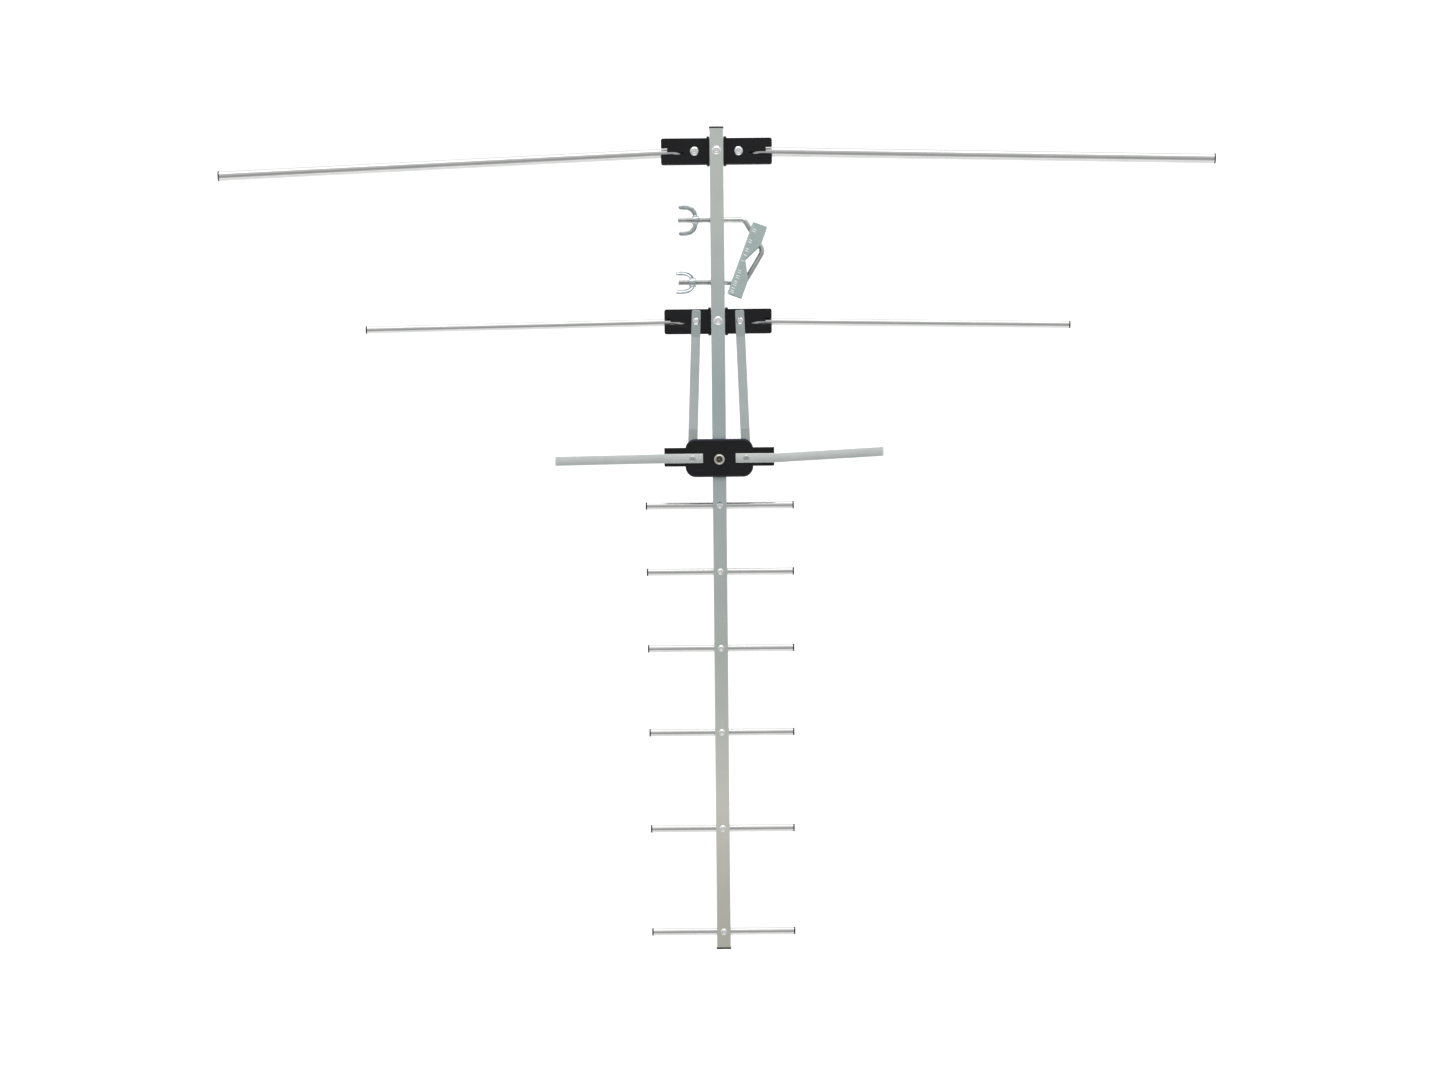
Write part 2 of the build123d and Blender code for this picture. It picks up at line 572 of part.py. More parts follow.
def make_terminal_screw():
    """A pan-head screw, head on z = 0, with a cross recess."""
    length = LOOP_TOP_Z - BASE_Z[1] - 0.4
    screw = turned(
        (0, -length), (TERMINAL_SHANK / 2 - 0.4, -length), (TERMINAL_SHANK / 2, -length + 0.6),
        (TERMINAL_SHANK / 2, 0), (3.4, 0), (3.4, 0.7), (3.0, 1.5), (2.1, 2.0), (0, 2.2))
    for turn in (0, 90):
        screw -= Pos(0, 0, 2.0) * Rot(0, 0, turn) * Box(3.4, 0.9, 2.4)
    return screw


# ---- F connector ----
def make_connector_shell():
    """A threaded barrel with its collar on the box and its thread through the wall."""
    collar_low = BOX_TOP_Z + CONNECTOR_BOSS[1]
    collar_high = collar_low + COLLAR_HEIGHT
    top = collar_high + BARREL_LENGTH
    shell = turned(
        (BARREL_BORE / 2, CONNECTOR_TAIL_Z), (THREAD_RADIUS, CONNECTOR_TAIL_Z),
        (THREAD_RADIUS, collar_low), (COLLAR_DIAMETER / 2, collar_low),
        (COLLAR_DIAMETER / 2, collar_high - 0.4), (COLLAR_DIAMETER / 2 - 0.4, collar_high),
        (THREAD_RADIUS, collar_high), (THREAD_RADIUS, top - 0.5), (THREAD_RADIUS - 0.5, top),
        (BARREL_BORE / 2 + 0.3, top), (BARREL_BORE / 2, top - 0.4))
    return Pos(0, CONNECTOR_Y, 0) * shell


def make_connector_insulator():
    top = BOX_TOP_Z + CONNECTOR_BOSS[1] + COLLAR_HEIGHT + BARREL_LENGTH - 0.8
    body = upright_rod(0, CONNECTOR_Y, BARREL_BORE - 2 * FIT, CONNECTOR_TAIL_Z, top)
    return body - upright_rod(0, CONNECTOR_Y, 1.6, CONNECTOR_TAIL_Z - 1, top + 1)


def make_connector_contact():
    """A split spring socket that takes the cable's centre wire, with a solder tail."""
    top = BOX_TOP_Z + COLLAR_HEIGHT + BARREL_LENGTH - 1.5
    contact = upright_rod(0, CONNECTOR_Y, 1.5, BOARD_Z - 1.5, top)
    contact -= upright_rod(0, CONNECTOR_Y, 0.9, top - 9, top + 1)
    return contact - Pos(0, CONNECTOR_Y, top) * Box(0.3, 3, 6)


def make_connector_nut():
    bore = 2 * THREAD_RADIUS + 2 * FIT
    across, thickness = INNER_NUT
    low = BOX_TOP_Z - BOX_WALL - thickness
    return Pos(0, CONNECTOR_Y, low) * hexagon_nut(across, thickness, bore)


# ---- balun inside the box ----
def make_balun_board():
    board = prism(RectangleRounded(*BOARD_SIZE, 1.5), BOARD_Z, BOARD_Z + BOARD_THICKNESS)
    board = Pos(0, BOX_Y, 0) * board
    return board - upright_rod(0, CONNECTOR_Y, 2.0, 0, 40)


def make_balun_core():
    inner, outer = CORE_RING
    ring = Cylinder(outer, CORE_HEIGHT) - Cylinder(inner, CORE_HEIGHT + 1)
    ring = fillet(ring.edges(), 0.3)
    return Pos(*CORE_CENTRE) * ring


def make_balun_windings():
    """Wire turns round the ferrite ring, and one lead to each terminal post."""
    inner, outer = CORE_RING
    middle = (inner + outer) / 2
    frame = RectangleRounded(outer - inner + 1.0, CORE_HEIGHT + 1.0, 0.45)
    opening = RectangleRounded(outer - inner + 0.2, CORE_HEIGHT + 0.2, 0.3)
    turn = extrude(Plane.XZ * (frame - opening), amount=WIRE_RADIUS, both=True)
    pieces = []
    for step in range(WINDING_TURNS):
        angle = (step + 0.5) * 360 / WINDING_TURNS
        pieces.append(Pos(*CORE_CENTRE) * Rot(0, 0, angle) * Pos(middle, 0, 0) * turn)
    lead_start, lead_end = 8.0, TERMINAL_X - 8.0
    lead = Rot(0, 90, 0) * Cylinder(WIRE_RADIUS, lead_end - lead_start)
    lead_z = BOARD_Z + BOARD_THICKNESS + WIRE_RADIUS
    for sign in (-1, 1):
        pieces.append(Pos(sign * (lead_start + lead_end) / 2, BOX_Y + 9, lead_z) * lead)
    return Compound(pieces)


# ---- mast clamp ----
def make_v_bolt():
    """One bent rod: two threaded legs through the boom, and a V that draws the mast in."""
    corners = [(LEG_END_X, LEG_Y), (BEND_X, LEG_Y), (APEX_X, 0), (BEND_X, -LEG_Y), (LEG_END_X, -LEG_Y)]
    bends = [BEND_RADIUS, APEX_RADIUS, BEND_RADIUS]
    path = FilletPolyline(*[(x, y, 0) for x, y in corners], radius=bends)
    start = Plane(origin=(LEG_END_X, LEG_Y, 0), x_dir=(0, 1, 0), z_dir=(1, 0, 0))
    rod = sweep(start * Circle(ROD_DIAMETER / 2), path=path)
    ends = [face.edges() for face in rod.faces().filter_by(GeomType.PLANE)]
    return chamfer([edge for group in ends for edge in group], 0.7)


def make_saddle():
    """A folded sheet channel: the web faces the boom, both flanges are notched for the mast."""
    half = SADDLE_LENGTH / 2
    section_outer = RectangleRounded(2 * SADDLE_DEPTH, SADDLE_WIDTH, SADDLE_BEND)
    inner_size = (2 * (SADDLE_DEPTH - SADDLE_SHEET), SADDLE_WIDTH - 2 * SADDLE_SHEET)
    section_inner = RectangleRounded(*inner_size, SADDLE_BEND - SADDLE_SHEET)
    keep = Pos(SADDLE_DEPTH / 2, 0) * Rectangle(SADDLE_DEPTH, SADDLE_WIDTH)
    section = (Pos(SADDLE_DEPTH, 0) * (section_outer - section_inner)) & keep
    channel = Rot(90, 0, 0) * extrude(section, amount=half, both=True)
    notch = make_face(Polyline((NOTCH_WEB, 0), (SADDLE_DEPTH + 2, NOTCH_HALF + 3.9),
                               (SADDLE_DEPTH + 2, -NOTCH_HALF - 3.9), close=True))
    channel -= prism(notch, -SADDLE_WIDTH, SADDLE_WIDTH)
    for sign, (near, far) in ((-1, CLOSED_SLOT), (1, OPEN_SLOT)):
        outline = Rot(0, 0, 90) * SlotOverall(far - near, SLOT_WIDTH)
        slot = Rot(0, 90, 0) * extrude(outline, amount=5, both=True)
        channel -= Pos(0, sign * (near + far) / 2, 0) * slot
    return Pos(*SADDLE_CENTRE, 0) * Rot(0, 0, -SADDLE_TILT) * channel


def make_wing_nut(which):
    """Hub at the boom's end, two ears that sweep out and back towards the rod's free end."""
    hub = turned(
        (0, 0), (NUT_HUB / 2 - 0.5, 0), (NUT_HUB / 2, 0.5), (NUT_HUB / 2, 2.2),
        (NUT_HUB / 2 - 1.2, NUT_HUB_LENGTH), (0, NUT_HUB_LENGTH))
    ear_band = make_face(Wire([
        Line((3.2, 0.9), (6.5, 1.2)),
        ThreePointArc((6.5, 1.2), (13.6, 5.2), (16.9, 13.0)),
        Line((16.9, 13.0), (EAR_SPAN / 2, EAR_REACH - 2.4)),
        ThreePointArc((EAR_SPAN / 2, EAR_REACH - 2.4), (14.2, EAR_REACH), (11.2, EAR_REACH - 2.8)),
        Line((11.2, EAR_REACH - 2.8), (11.4, 14.0)),
        ThreePointArc((11.4, 14.0), (9.4, 9.0), (4.4, 6.6)),
        Line((4.4, 6.6), (3.2, 0.9)),
    ]))
    ear = extrude(Plane.XZ * ear_band, amount=EAR_THICKNESS / 2, both=True)
    ear = fillet(ear.faces().filter_by(Axis.Y).edges(), 0.9)
    nut = hub + ear + Rot(0, 0, 180) * ear
    nut -= upright_rod(0, 0, ROD_DIAMETER + 2 * FIT, -1, NUT_HUB_LENGTH + 1)
    leg_y = LEG_Y if which == "upper" else -LEG_Y
    spin = Rot(0, 0, 90 + NUT_TURN[which])
    return Pos(NUT_FACE_X[which], leg_y, 0) * Rot(0, -90, 0) * spin * nut


# ---- all nodes ----
def make_nodes():
    nodes = {
        "boom": make_boom(),
        "boom_cap_rear": make_boom_cap(BOOM_REAR_Y, 1),
        "boom_cap_front": make_boom_cap(BOOM_FRONT_Y, -1),
        "reflector_holder": make_holder(
            REFLECTOR_Y, REFLECTOR_HOLDER, REFLECTOR_TUBE, REFLECTOR_SWEEP, 1),
        "dipole_holder": make_holder(DIPOLE_Y, DIPOLE_HOLDER, DIPOLE_TUBE, DIPOLE_SWEEP, -1),
        "reflector_pivot_rivets": make_pivot_rivets(
            REFLECTOR_Y, REFLECTOR_TUBE, HOLDER_TOP_Z, PIVOT_HEAD["reflector"]),
        "dipole_pivot_rivets": make_pivot_rivets(
            DIPOLE_Y, DIPOLE_TUBE, HOLDER_TOP_Z + STRIP_THICKNESS, PIVOT_HEAD["dipole"]),
        "pivot_rear_washers": make_rear_washers(),
        "reflector_holder_rivet": make_holder_rivet(REFLECTOR_Y, REFLECTOR_TUBE),
        "dipole_holder_rivet": make_holder_rivet(DIPOLE_Y, DIPOLE_TUBE),
        "director_caps": make_director_caps(),
        "director_rivets": make_director_rivets(),
        "folded_dipole": make_folded_dipole(),
        "box_cover": make_box_cover(),
        "box_base": make_box_base(),
        "box_rivets": make_box_rivets(),
        "terminal_screws": at_terminals(make_terminal_screw(), LOOP_TOP_Z),
        "terminal_nuts": at_terminals(
            hexagon_nut(*TERMINAL_NUT, TERMINAL_SHANK + 2 * FIT), STRIP_BOX_Z - TERMINAL_NUT[1]),
        "connector_shell": make_connector_shell(),
        "connector_insulator": make_connector_insulator(),
        "connector_contact": make_connector_contact(),
        "connector_nut": make_connector_nut(),
        "balun_board": make_balun_board(),
        "balun_core": make_balun_core(),
        "balun_windings": make_balun_windings(),
        "v_bolt": make_v_bolt(),
        "mast_saddle": make_saddle(),
    }
    for which in NUT_FACE_X:
        nodes["wing_nut_" + which] = make_wing_nut(which)
    for number, (y, length) in enumerate(zip(DIRECTOR_Y, DIRECTOR_LENGTH), 1):
        nodes[f"director_{number}"] = make_director(y, length)
    families = {
        "reflector": (REFLECTOR_Y, REFLECTOR_TUBE, REFLECTOR_REACH, REFLECTOR_SWEEP),
        "dipole": (DIPOLE_Y, DIPOLE_TUBE, DIPOLE_REACH, DIPOLE_SWEEP),
    }
    for side in SIDES:
        nodes["phasing_strip_" + side] = make_phasing_strip(side)
        for family, (y, diameter, reach, sweeps) in families.items():
            cap = Pos(reach - TUBE_CAP_FLANGE, 0, 0) * tube_cap(diameter)
            place = (y, diameter, side, sweeps[side])
            nodes[f"{family}_arm_{side}"] = place_arm(arm(diameter, reach), *place)
            nodes[f"{family}_cap_{side}"] = place_arm(cap, *place)
    return nodes


os.makedirs("parts", exist_ok=True)
for name, shape in make_nodes().items():
    export_step(shape, f"parts/{name}.step")
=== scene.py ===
import bmesh
import bpy
import json
import math
from mathutils import Matrix, Vector


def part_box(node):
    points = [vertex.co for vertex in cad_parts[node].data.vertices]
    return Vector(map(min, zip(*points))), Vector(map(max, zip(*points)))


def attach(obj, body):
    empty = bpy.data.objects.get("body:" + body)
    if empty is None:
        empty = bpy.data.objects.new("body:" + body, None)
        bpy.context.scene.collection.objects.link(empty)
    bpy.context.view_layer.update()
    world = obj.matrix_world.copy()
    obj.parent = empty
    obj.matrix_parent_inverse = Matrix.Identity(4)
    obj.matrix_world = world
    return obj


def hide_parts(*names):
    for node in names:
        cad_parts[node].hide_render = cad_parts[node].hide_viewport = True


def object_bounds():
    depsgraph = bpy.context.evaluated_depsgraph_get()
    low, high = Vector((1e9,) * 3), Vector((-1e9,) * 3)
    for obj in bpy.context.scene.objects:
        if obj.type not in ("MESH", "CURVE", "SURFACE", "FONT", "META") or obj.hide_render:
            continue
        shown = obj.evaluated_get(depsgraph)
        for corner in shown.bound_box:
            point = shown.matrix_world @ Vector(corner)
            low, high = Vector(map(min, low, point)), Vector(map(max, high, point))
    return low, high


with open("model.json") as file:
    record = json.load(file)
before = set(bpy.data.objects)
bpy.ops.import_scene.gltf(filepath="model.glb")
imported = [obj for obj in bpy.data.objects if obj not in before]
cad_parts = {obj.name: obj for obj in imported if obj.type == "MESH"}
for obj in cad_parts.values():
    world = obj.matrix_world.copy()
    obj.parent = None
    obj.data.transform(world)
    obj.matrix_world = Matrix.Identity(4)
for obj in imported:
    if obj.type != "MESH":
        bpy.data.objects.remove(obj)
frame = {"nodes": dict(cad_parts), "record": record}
cad_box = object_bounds()
NODES = frame["nodes"]
MM = 0.001
SCENE = bpy.context.scene
SIDES = {"left": -1, "right": 1}

# The sizes below are the CAD model's own, in millimetres, where a node's box doesn't give them.
BOOM_HALF = 7.5
PIVOT_X = 23.7
TAB_THICKNESS = 2.2
TAB_TAIL = 7.5
CRIMP = (9.5, 26.0)
TUBE_WALL = 0.9
CAP_FLANGE = 1.5
CAP_LIP = 0.15                  # how far an end cap's flange stands out past its tube
CAP_PLUG = 6.0
FAMILIES = {
    "reflector": {"y": 108.6, "z": -10.5, "tube": 11.0, "reach": 516.5, "sweep": {"left": 2.4, "right": 1.4}},
    "dipole": {"y": -75.4, "z": -9.0, "tube": 8.0, "reach": 357.5, "sweep": {"left": 0.9, "right": 1.1}},
}
SLOT_OF = {part["node"]: part["material_slot"] for part in frame["record"]["subparts"]}
DIRECTOR_Y = (-274.5, -346.0, -428.6, -519.4, -623.1, -734.4)
TERMINAL = (29.0, -224.0)
LOOP_HALF = 179.3
LOOP_Z = (8.25, 27.75)          # middle of the strip's thickness, rear leg and front legs
LOOP_FRONT_END_X = 17.6
LOOP_SET_X = 62.0
LOOP_SET = {"left": -0.8, "right": 2.9}
STRIP = (10.0, 1.5)
CONNECTOR_Y = -225.3
LEG_Y = 33.6

HOLDER_TOP_Z = -2.7
STRIP_BOX_Z = 14.5              # underside of the phasing strips inside the box
STRIP_RAMP = (-17.0, -117.0)    # where a phasing strip's slope starts and ends, from its pivot
STRIP_OVERHANG = 12.0
STRIP_TAIL = 6.0
STRIP_CORNER = 2.0
BOX_Y = -223.5
BOX_SIZE = (72.8, 40.8)
BOX_CORNER = 11.0
COVER_TOP_Z = LOOP_Z[1] - STRIP[1] / 2

COLLAR = (5.6, 27.9, 29.9)      # radius, lower and upper face
BARREL_RADIUS = 4.4
BARREL_BORE = 3.1               # radius
F_THREAD = (4.76, 0.794, 0.45)  # radius, pitch and depth

ROD = 6.0
ROD_THREAD = (1.0, 0.55)        # pitch and depth
LEG_END_X = -42.5
THREAD_END_X = -3.0
BEND_X = 29.4
APEX_X = 49.6
BEND_RADIUS = 7.0
APEX_RADIUS = 9.0
NUT_PLACES = {"upper": (-19.9, LEG_Y, 0.0), "lower": (-23.5, -LEG_Y, 42.0)}    # face x, leg y, turn

SADDLE_TILT = 20.35
SADDLE_CENTRE = (24.45, -7.45)
SADDLE_HALF_WIDTH = 13.0
# Places of the saddle's pressed teeth along its web, from the middle towards the upper end.
TEETH = (33.2, 31.0, 20.9, 18.6, 11.0, 8.5, 3.8, -2.7, -13.7, -16.2, -19.9, -22.2, -26.2, -28.2, -30.5,
         -33.9, -36.6, -38.6)
TOOTH_FROM_WEB = 4.6
NARROW_TOOTH_FROM_WEB = 3.9     # where the flange narrows at its notch
TOOTH_LEAN = -4.0


# ---------------------------------------------------------------- shapes
# A shape is (points, faces) in millimetres. Shapes are joined and placed before they become pieces.
def joined(*shapes):
    points, faces = [], []
    for some_points, some_faces in shapes:
        start = len(points)
        points += some_points
        faces += [[start + i for i in face] for face in some_faces]
    return points, faces


def placed(shape, matrix):
    points, faces = shape
    return [matrix @ Vector(p) for p in points], faces


def at(x=0.0, y=0.0, z=0.0):
    return Matrix.Translation((x, y, z))


def turned(degrees, axis="Z"):
    return Matrix.Rotation(math.radians(degrees), 4, axis)


def skin(rings, cap_start=True, cap_end=True):
    """A surface over rings that all have the same number of points."""
    count = len(rings[0])
    points = [Vector(p) for ring in rings for p in ring]
    faces = []
    for r in range(len(rings) - 1):
        for k in range(count):
            n = (k + 1) % count
            faces.append([r * count + k, r * count + n, (r + 1) * count + n, (r + 1) * count + k])
    if cap_start:
        faces.append(list(range(count))[::-1])
    if cap_end:
        last = (len(rings) - 1) * count
        faces.append([last + k for k in range(count)])
    return points, faces


def lathe(profile, segments=48):
    """A turned shape about Z from (radius, height) pairs, bottom to top. A radius of 0 closes an end."""
    points, faces, rows = [], [], []
    for radius, height in profile:
        if radius < 1e-6:
            rows.append([len(points)])
            points.append(Vector((0, 0, height)))
        else:
            rows.append(list(range(len(points), len(points) + segments)))
            for k in range(segments):
                a = 2 * math.pi * k / segments
                points.append(Vector((radius * math.cos(a), radius * math.sin(a), height)))
    for low, high in zip(rows, rows[1:]):
        for k in range(segments):
            n = (k + 1) % segments
            if len(low) == 1:
                faces.append([low[0], high[n], high[k]])
            elif len(high) == 1:
                faces.append([low[k], low[n], high[0]])
            else:
                faces.append([low[k], low[n], high[n], high[k]])
    return points, faces


def rounded(profile, radius, steps=4):
    """A (radius, height) profile with every inner corner eased by a small arc."""
    eased = [profile[0]]
    for before, corner, after in zip(profile, profile[1:], profile[2:]):
        a, c, b = Vector(before), Vector(corner), Vector(after)
        reach = min(radius, (a - c).length * 0.45, (b - c).length * 0.45)
        start, end = c + (a - c).normalized() * reach, c + (b - c).normalized() * reach
        for step in range(steps + 1):
            t = step / steps
            eased.append(tuple(start * (1 - t) ** 2 + c * 2 * t * (1 - t) + end * t ** 2))
    return eased + [profile[-1]]


def rounded_rectangle(width, height, radius, steps=6):
    """A closed outline of points, anticlockwise, about the origin."""
    outline = []
    for quarter in range(4):
        sx = 1 if quarter in (0, 3) else -1
        sy = 1 if quarter in (0, 1) else -1
        for step in range(steps + 1):
            a = math.pi / 2 * (quarter + step / steps)
            outline.append((sx * (width / 2 - radius) + radius * math.cos(a),
                            sy * (height / 2 - radius) + radius * math.sin(a)))
    return outline


def threaded_rings(x_start, x_end, radius, pitch, depth, segments=32, per_turn=8):
    """Rings along X with a real helical V thread, faded out at its far end."""
    rings = []
    count = round(abs(x_end - x_start) / pitch * per_turn)
    for r in range(count + 1):
        x = x_start + (x_end - x_start) * r / count
        fade = min(1.0, (count - r) / (2.0 * per_turn))
        lead = min(1.0, 0.25 + r / (1.2 * per_turn))
        ring = []
        for k in range(segments):
            phase = (x / pitch - k / segments) % 1.0
            groove = abs(2 * phase - 1)
            rr = radius - depth * groove * fade - (1 - lead) * depth
            a = 2 * math.pi * k / segments
            ring.append((x, rr * math.cos(a), rr * math.sin(a)))
        rings.append(ring)
    return rings


# ---------------------------------------------------------------- pieces
def to_mesh(name, shape):
    points, faces = shape
    mesh = bpy.data.meshes.new(name)
    mesh.from_pydata([Vector(p) * MM for p in points], [], faces)
    mesh.validate()
    bm = bmesh.new()
    bm.from_mesh(mesh)
    bmesh.ops.remove_doubles(bm, verts=bm.verts, dist=1e-7)
    bmesh.ops.recalc_face_normals(bm, faces=bm.faces)
    bm.to_mesh(mesh)
    bm.free()
    return mesh


def smooth(mesh, sharp_angle=38):
    mesh.polygons.foreach_set("use_smooth", [True] * len(mesh.polygons))
    mesh.set_sharp_from_angle(angle=math.radians(sharp_angle))
    mesh.update()


def scratch_object(mesh):
    obj = bpy.data.objects.new("scratch", mesh)
    SCENE.collection.objects.link(obj)
    return obj


def baked(mesh, *modifiers):
    """The mesh with modifiers applied. Each modifier is (type, {setting: value})."""
    obj = scratch_object(mesh)
    for kind, settings in modifiers:
        modifier = obj.modifiers.new(kind, kind)
        for key, value in settings.items():
            setattr(modifier, key, value)
    bpy.context.view_layer.update()
    result = bpy.data.meshes.new_from_object(obj.evaluated_get(bpy.context.evaluated_depsgraph_get()))
    bpy.data.objects.remove(obj)
    return result


def cut(mesh, *cutters):
    """The mesh less some cutter meshes."""
    tools = [scratch_object(cutter) for cutter in cutters]
    steps = [("BOOLEAN", {"operation": "DIFFERENCE", "object": tool, "solver": "EXACT"}) for tool in tools]
    result = baked(mesh, *steps)
    for tool in tools:
        bpy.data.objects.remove(tool)
    return result


def eased(mesh, width, segments=2, angle=32):
    """The mesh with its sharp edges rounded by a small moulding or pressing radius, in millimetres,
    and its broad faces shaded flat."""
    result = baked(mesh, ("BEVEL", {"width": width * MM, "segments": segments, "limit_method": "ANGLE",
                                    "angle_limit": math.radians(angle), "harden_normals": False,
                                    "miter_outer": "MITER_ARC"}))
    smooth(result, angle)
    return baked(result, ("WEIGHTED_NORMAL", {"weight": 100, "keep_sharp": True}))


def copied(node):
    """A CAD node's mesh, welded and with its flat faces whole again, as a start for a finer piece."""
    mesh = NODES[node].data.copy()
    bm = bmesh.new()
    bm.from_mesh(mesh)
    bmesh.ops.remove_doubles(bm, verts=bm.verts, dist=2e-6)
    bmesh.ops.dissolve_limit(bm, angle_limit=math.radians(0.6), verts=bm.verts, edges=bm.edges)
    bm.to_mesh(mesh)
    bm.free()
    return mesh


def piece(name, mesh, material, body, stands_for=(), matrix=None, sharp=38):
    """Makes one finished piece: smooth shading, its material, its body and the CAD nodes it replaces."""
    if isinstance(mesh, tuple):
        mesh = to_mesh(name, mesh)
    mesh.name = name
    smooth(mesh, sharp)
    mesh.materials.clear()
    mesh.materials.append(material)
    obj = bpy.data.objects.new(name, mesh)
    SCENE.collection.objects.link(obj)
    if matrix is not None:
        moved = matrix.copy()
        moved.translation *= MM
        obj.matrix_world = moved
    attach(obj, body)
    if stands_for:
        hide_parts(*stands_for)
    return obj


# ---------------------------------------------------------------- materials
class Nodes:
    """Short names for wiring a material."""

    def __init__(self, name):
        self.material = bpy.data.materials.new(name)
        self.material.use_nodes = True
        self.tree = self.material.node_tree
        self.shader = self.tree.nodes["Principled BSDF"]
        self.coordinates = self.add("ShaderNodeTexCoord").outputs["Object"]

    def add(self, kind, inputs=None, **settings):
        node = self.tree.nodes.new(kind)
        for key, value in settings.items():
            setattr(node, key, value)
        for key, value in (inputs or {}).items():
            self.join(value, node.inputs[key])
        return node

    def join(self, value, socket):
        if isinstance(value, bpy.types.NodeSocket):
            self.tree.links.new(value, socket)
        else:
            socket.default_value = value

    def stretched(self, scale):
        return self.add("ShaderNodeMapping", {"Vector": self.coordinates, "Scale": scale}).outputs["Vector"]

    def noise(self, scale, detail=3.0, roughness=0.5, stretch=(1, 1, 1), distortion=0.0):
        return self.add("ShaderNodeTexNoise", {
            "Vector": self.stretched(stretch), "Scale": scale, "Detail": detail,
            "Roughness": roughness, "Distortion": distortion}).outputs["Fac"]

    def ramp(self, factor, *stops):
        node = self.add("ShaderNodeValToRGB", {"Fac": factor})
        elements = node.color_ramp.elements
        while len(elements) < len(stops):
            elements.new(0.5)
        for element, (position, colour) in zip(elements, stops):
            element.position = position
            element.color = (*colour, 1) if len(colour) == 3 else colour
        return node.outputs["Color"]

    def spread(self, factor, low, high, source=(0.3, 0.7)):
        return self.add("ShaderNodeMapRange", {
            "Value": factor, "From Min": source[0], "From Max": source[1],
            "To Min": low, "To Max": high}).outputs["Result"]

    def mix(self, factor, first, second, blend="MIX"):
        node = self.add("ShaderNodeMix", data_type="RGBA", blend_type=blend)
        self.join(factor, node.inputs[0])
        self.join(first if isinstance(first, bpy.types.NodeSocket) else (*first, 1), node.inputs[6])
        self.join(second if isinstance(second, bpy.types.NodeSocket) else (*second, 1), node.inputs[7])
        return node.outputs[2]

    def maths(self, operation, a, b=0.0):
        node = self.add("ShaderNodeMath", operation=operation)
        self.join(a, node.inputs[0])
        self.join(b, node.inputs[1])
        return node.outputs["Value"]

    def bump(self, height, strength, distance):
        return self.add("ShaderNodeBump", {
            "Height": height, "Strength": strength, "Distance": distance * MM}).outputs["Normal"]

    def finish(self, colour, roughness, normal=None, metallic=0.0, **sockets):
        self.join(colour, self.shader.inputs["Base Color"])
        self.join(roughness, self.shader.inputs["Roughness"])
        self.shader.inputs["Metallic"].default_value = metallic
        if normal is not None:
            self.join(normal, self.shader.inputs["Normal"])
        for key, value in sockets.items():
            self.shader.inputs[key.replace("_", " ")].default_value = value
        return self.material


def grain_stretch(along, fine, slow=1.0):
    """Noise scales that draw lines along one axis."""
    return tuple(slow if axis == along else fine for axis in "xyz")


def drawn_metal(name, along, light, dark, roughness, grain=1.0, bump=0.02, fine=1400, painted_shading=None):
    """Extruded, drawn or rolled metal: fine lines along its length, faint tarnish and a few long scratches.
    tones, when given, is a list of (y in metres, tint), front to rear: painted light and shade multiplied
    into the colour along the metal's length."""
    n = Nodes(name)
    lines = n.noise(1.0, 4.0, 0.6, grain_stretch(along, fine, 6.0))
    broad = n.noise(1.0, 2.0, 0.5, grain_stretch(along, 180, 3.0))
    blotch = n.noise(34.0, 4.0, 0.6)
    scratch = n.noise(1.0, 1.0, 0.4, grain_stretch(along, 900, 22.0), 0.4)
    colour = n.ramp(blotch, (0.32, dark), (0.68, light))
    # Painted light and shade: the colour is multiplied by a ramp of tints along Y.
    if painted_shading:
        first, last = painted_shading[0][0], painted_shading[-1][0]
        y = n.add("ShaderNodeSeparateXYZ", {"Vector": n.coordinates}).outputs["Y"]
        painted_tint = n.ramp(n.spread(y, 0.0, 1.0, (first, last)),
                      *[((place - first) / (last - first), shade) for place, shade in painted_shading])
        colour = n.mix(1.0, colour, painted_tint, "MULTIPLY")
    colour = n.mix(n.spread(lines, 0.0, 0.07 * grain), colour, tuple(c * 0.72 for c in dark))
    bright = tuple(min(1, c * 1.25) for c in light)
    colour = n.mix(n.spread(scratch, 0.0, 0.10 * grain, (0.66, 0.74)), colour, bright)
    rough = n.maths("ADD", n.spread(broad, roughness[0], roughness[1]), n.spread(lines, -0.015, 0.02))
    height = n.maths("ADD", lines, n.maths("MULTIPLY", broad, 0.6))
    return n.finish(colour, rough, n.bump(height, bump, 0.2), 1.0)


def moulded_plastic(name, colour, roughness, navy, edge):
    """Injection-moulded ABS: nearly smooth, faint flow marks and a little dust. The thin side walls are
    duller than the broad faces, and carry a painted blue highlight where they face the rear of the antenna,
    towards the key light."""
    n = Nodes(name)
    facing = n.add("ShaderNodeSeparateXYZ", {"Vector": n.add("ShaderNodeTexCoord").outputs["Normal"]})
    flat = n.maths("ABSOLUTE", facing.outputs["Z"])
    skin_noise = n.noise(900.0, 3.0, 0.6)
    flow = n.noise(26.0, 3.0, 0.5, (1.0, 2.2, 1.0), 1.2)
    dust = n.noise(2600.0, 1.0, 0.5)
    base = n.ramp(flow, (0.3, colour), (0.7, navy))
    base = n.mix(n.spread(dust, 0.0, 0.06, (0.72, 0.82)), base, (0.10, 0.10, 0.10))
    # Painted highlight: side walls turned towards +Y, where the key light stands, are mixed towards the blue
    # edge colour.
    base = n.mix(n.spread(facing.outputs["Y"], 0.0, 0.8, (0.25, 0.8)), base, edge)
    rough = n.maths("ADD", n.spread(flow, roughness[0], roughness[1]), n.spread(flat, 0.38, 0.0, (0.2, 0.8)))
    height = n.maths("ADD", skin_noise, n.maths("MULTIPLY", flow, 1.5))
    material = n.finish(base, rough, n.bump(height, 0.045, 0.12), 0.0, Specular_IOR_Level=0.28)
    n.join(n.spread(flat, 0.06, 0.28, (0.2, 0.8)), n.shader.inputs["Specular IOR Level"])
    return material


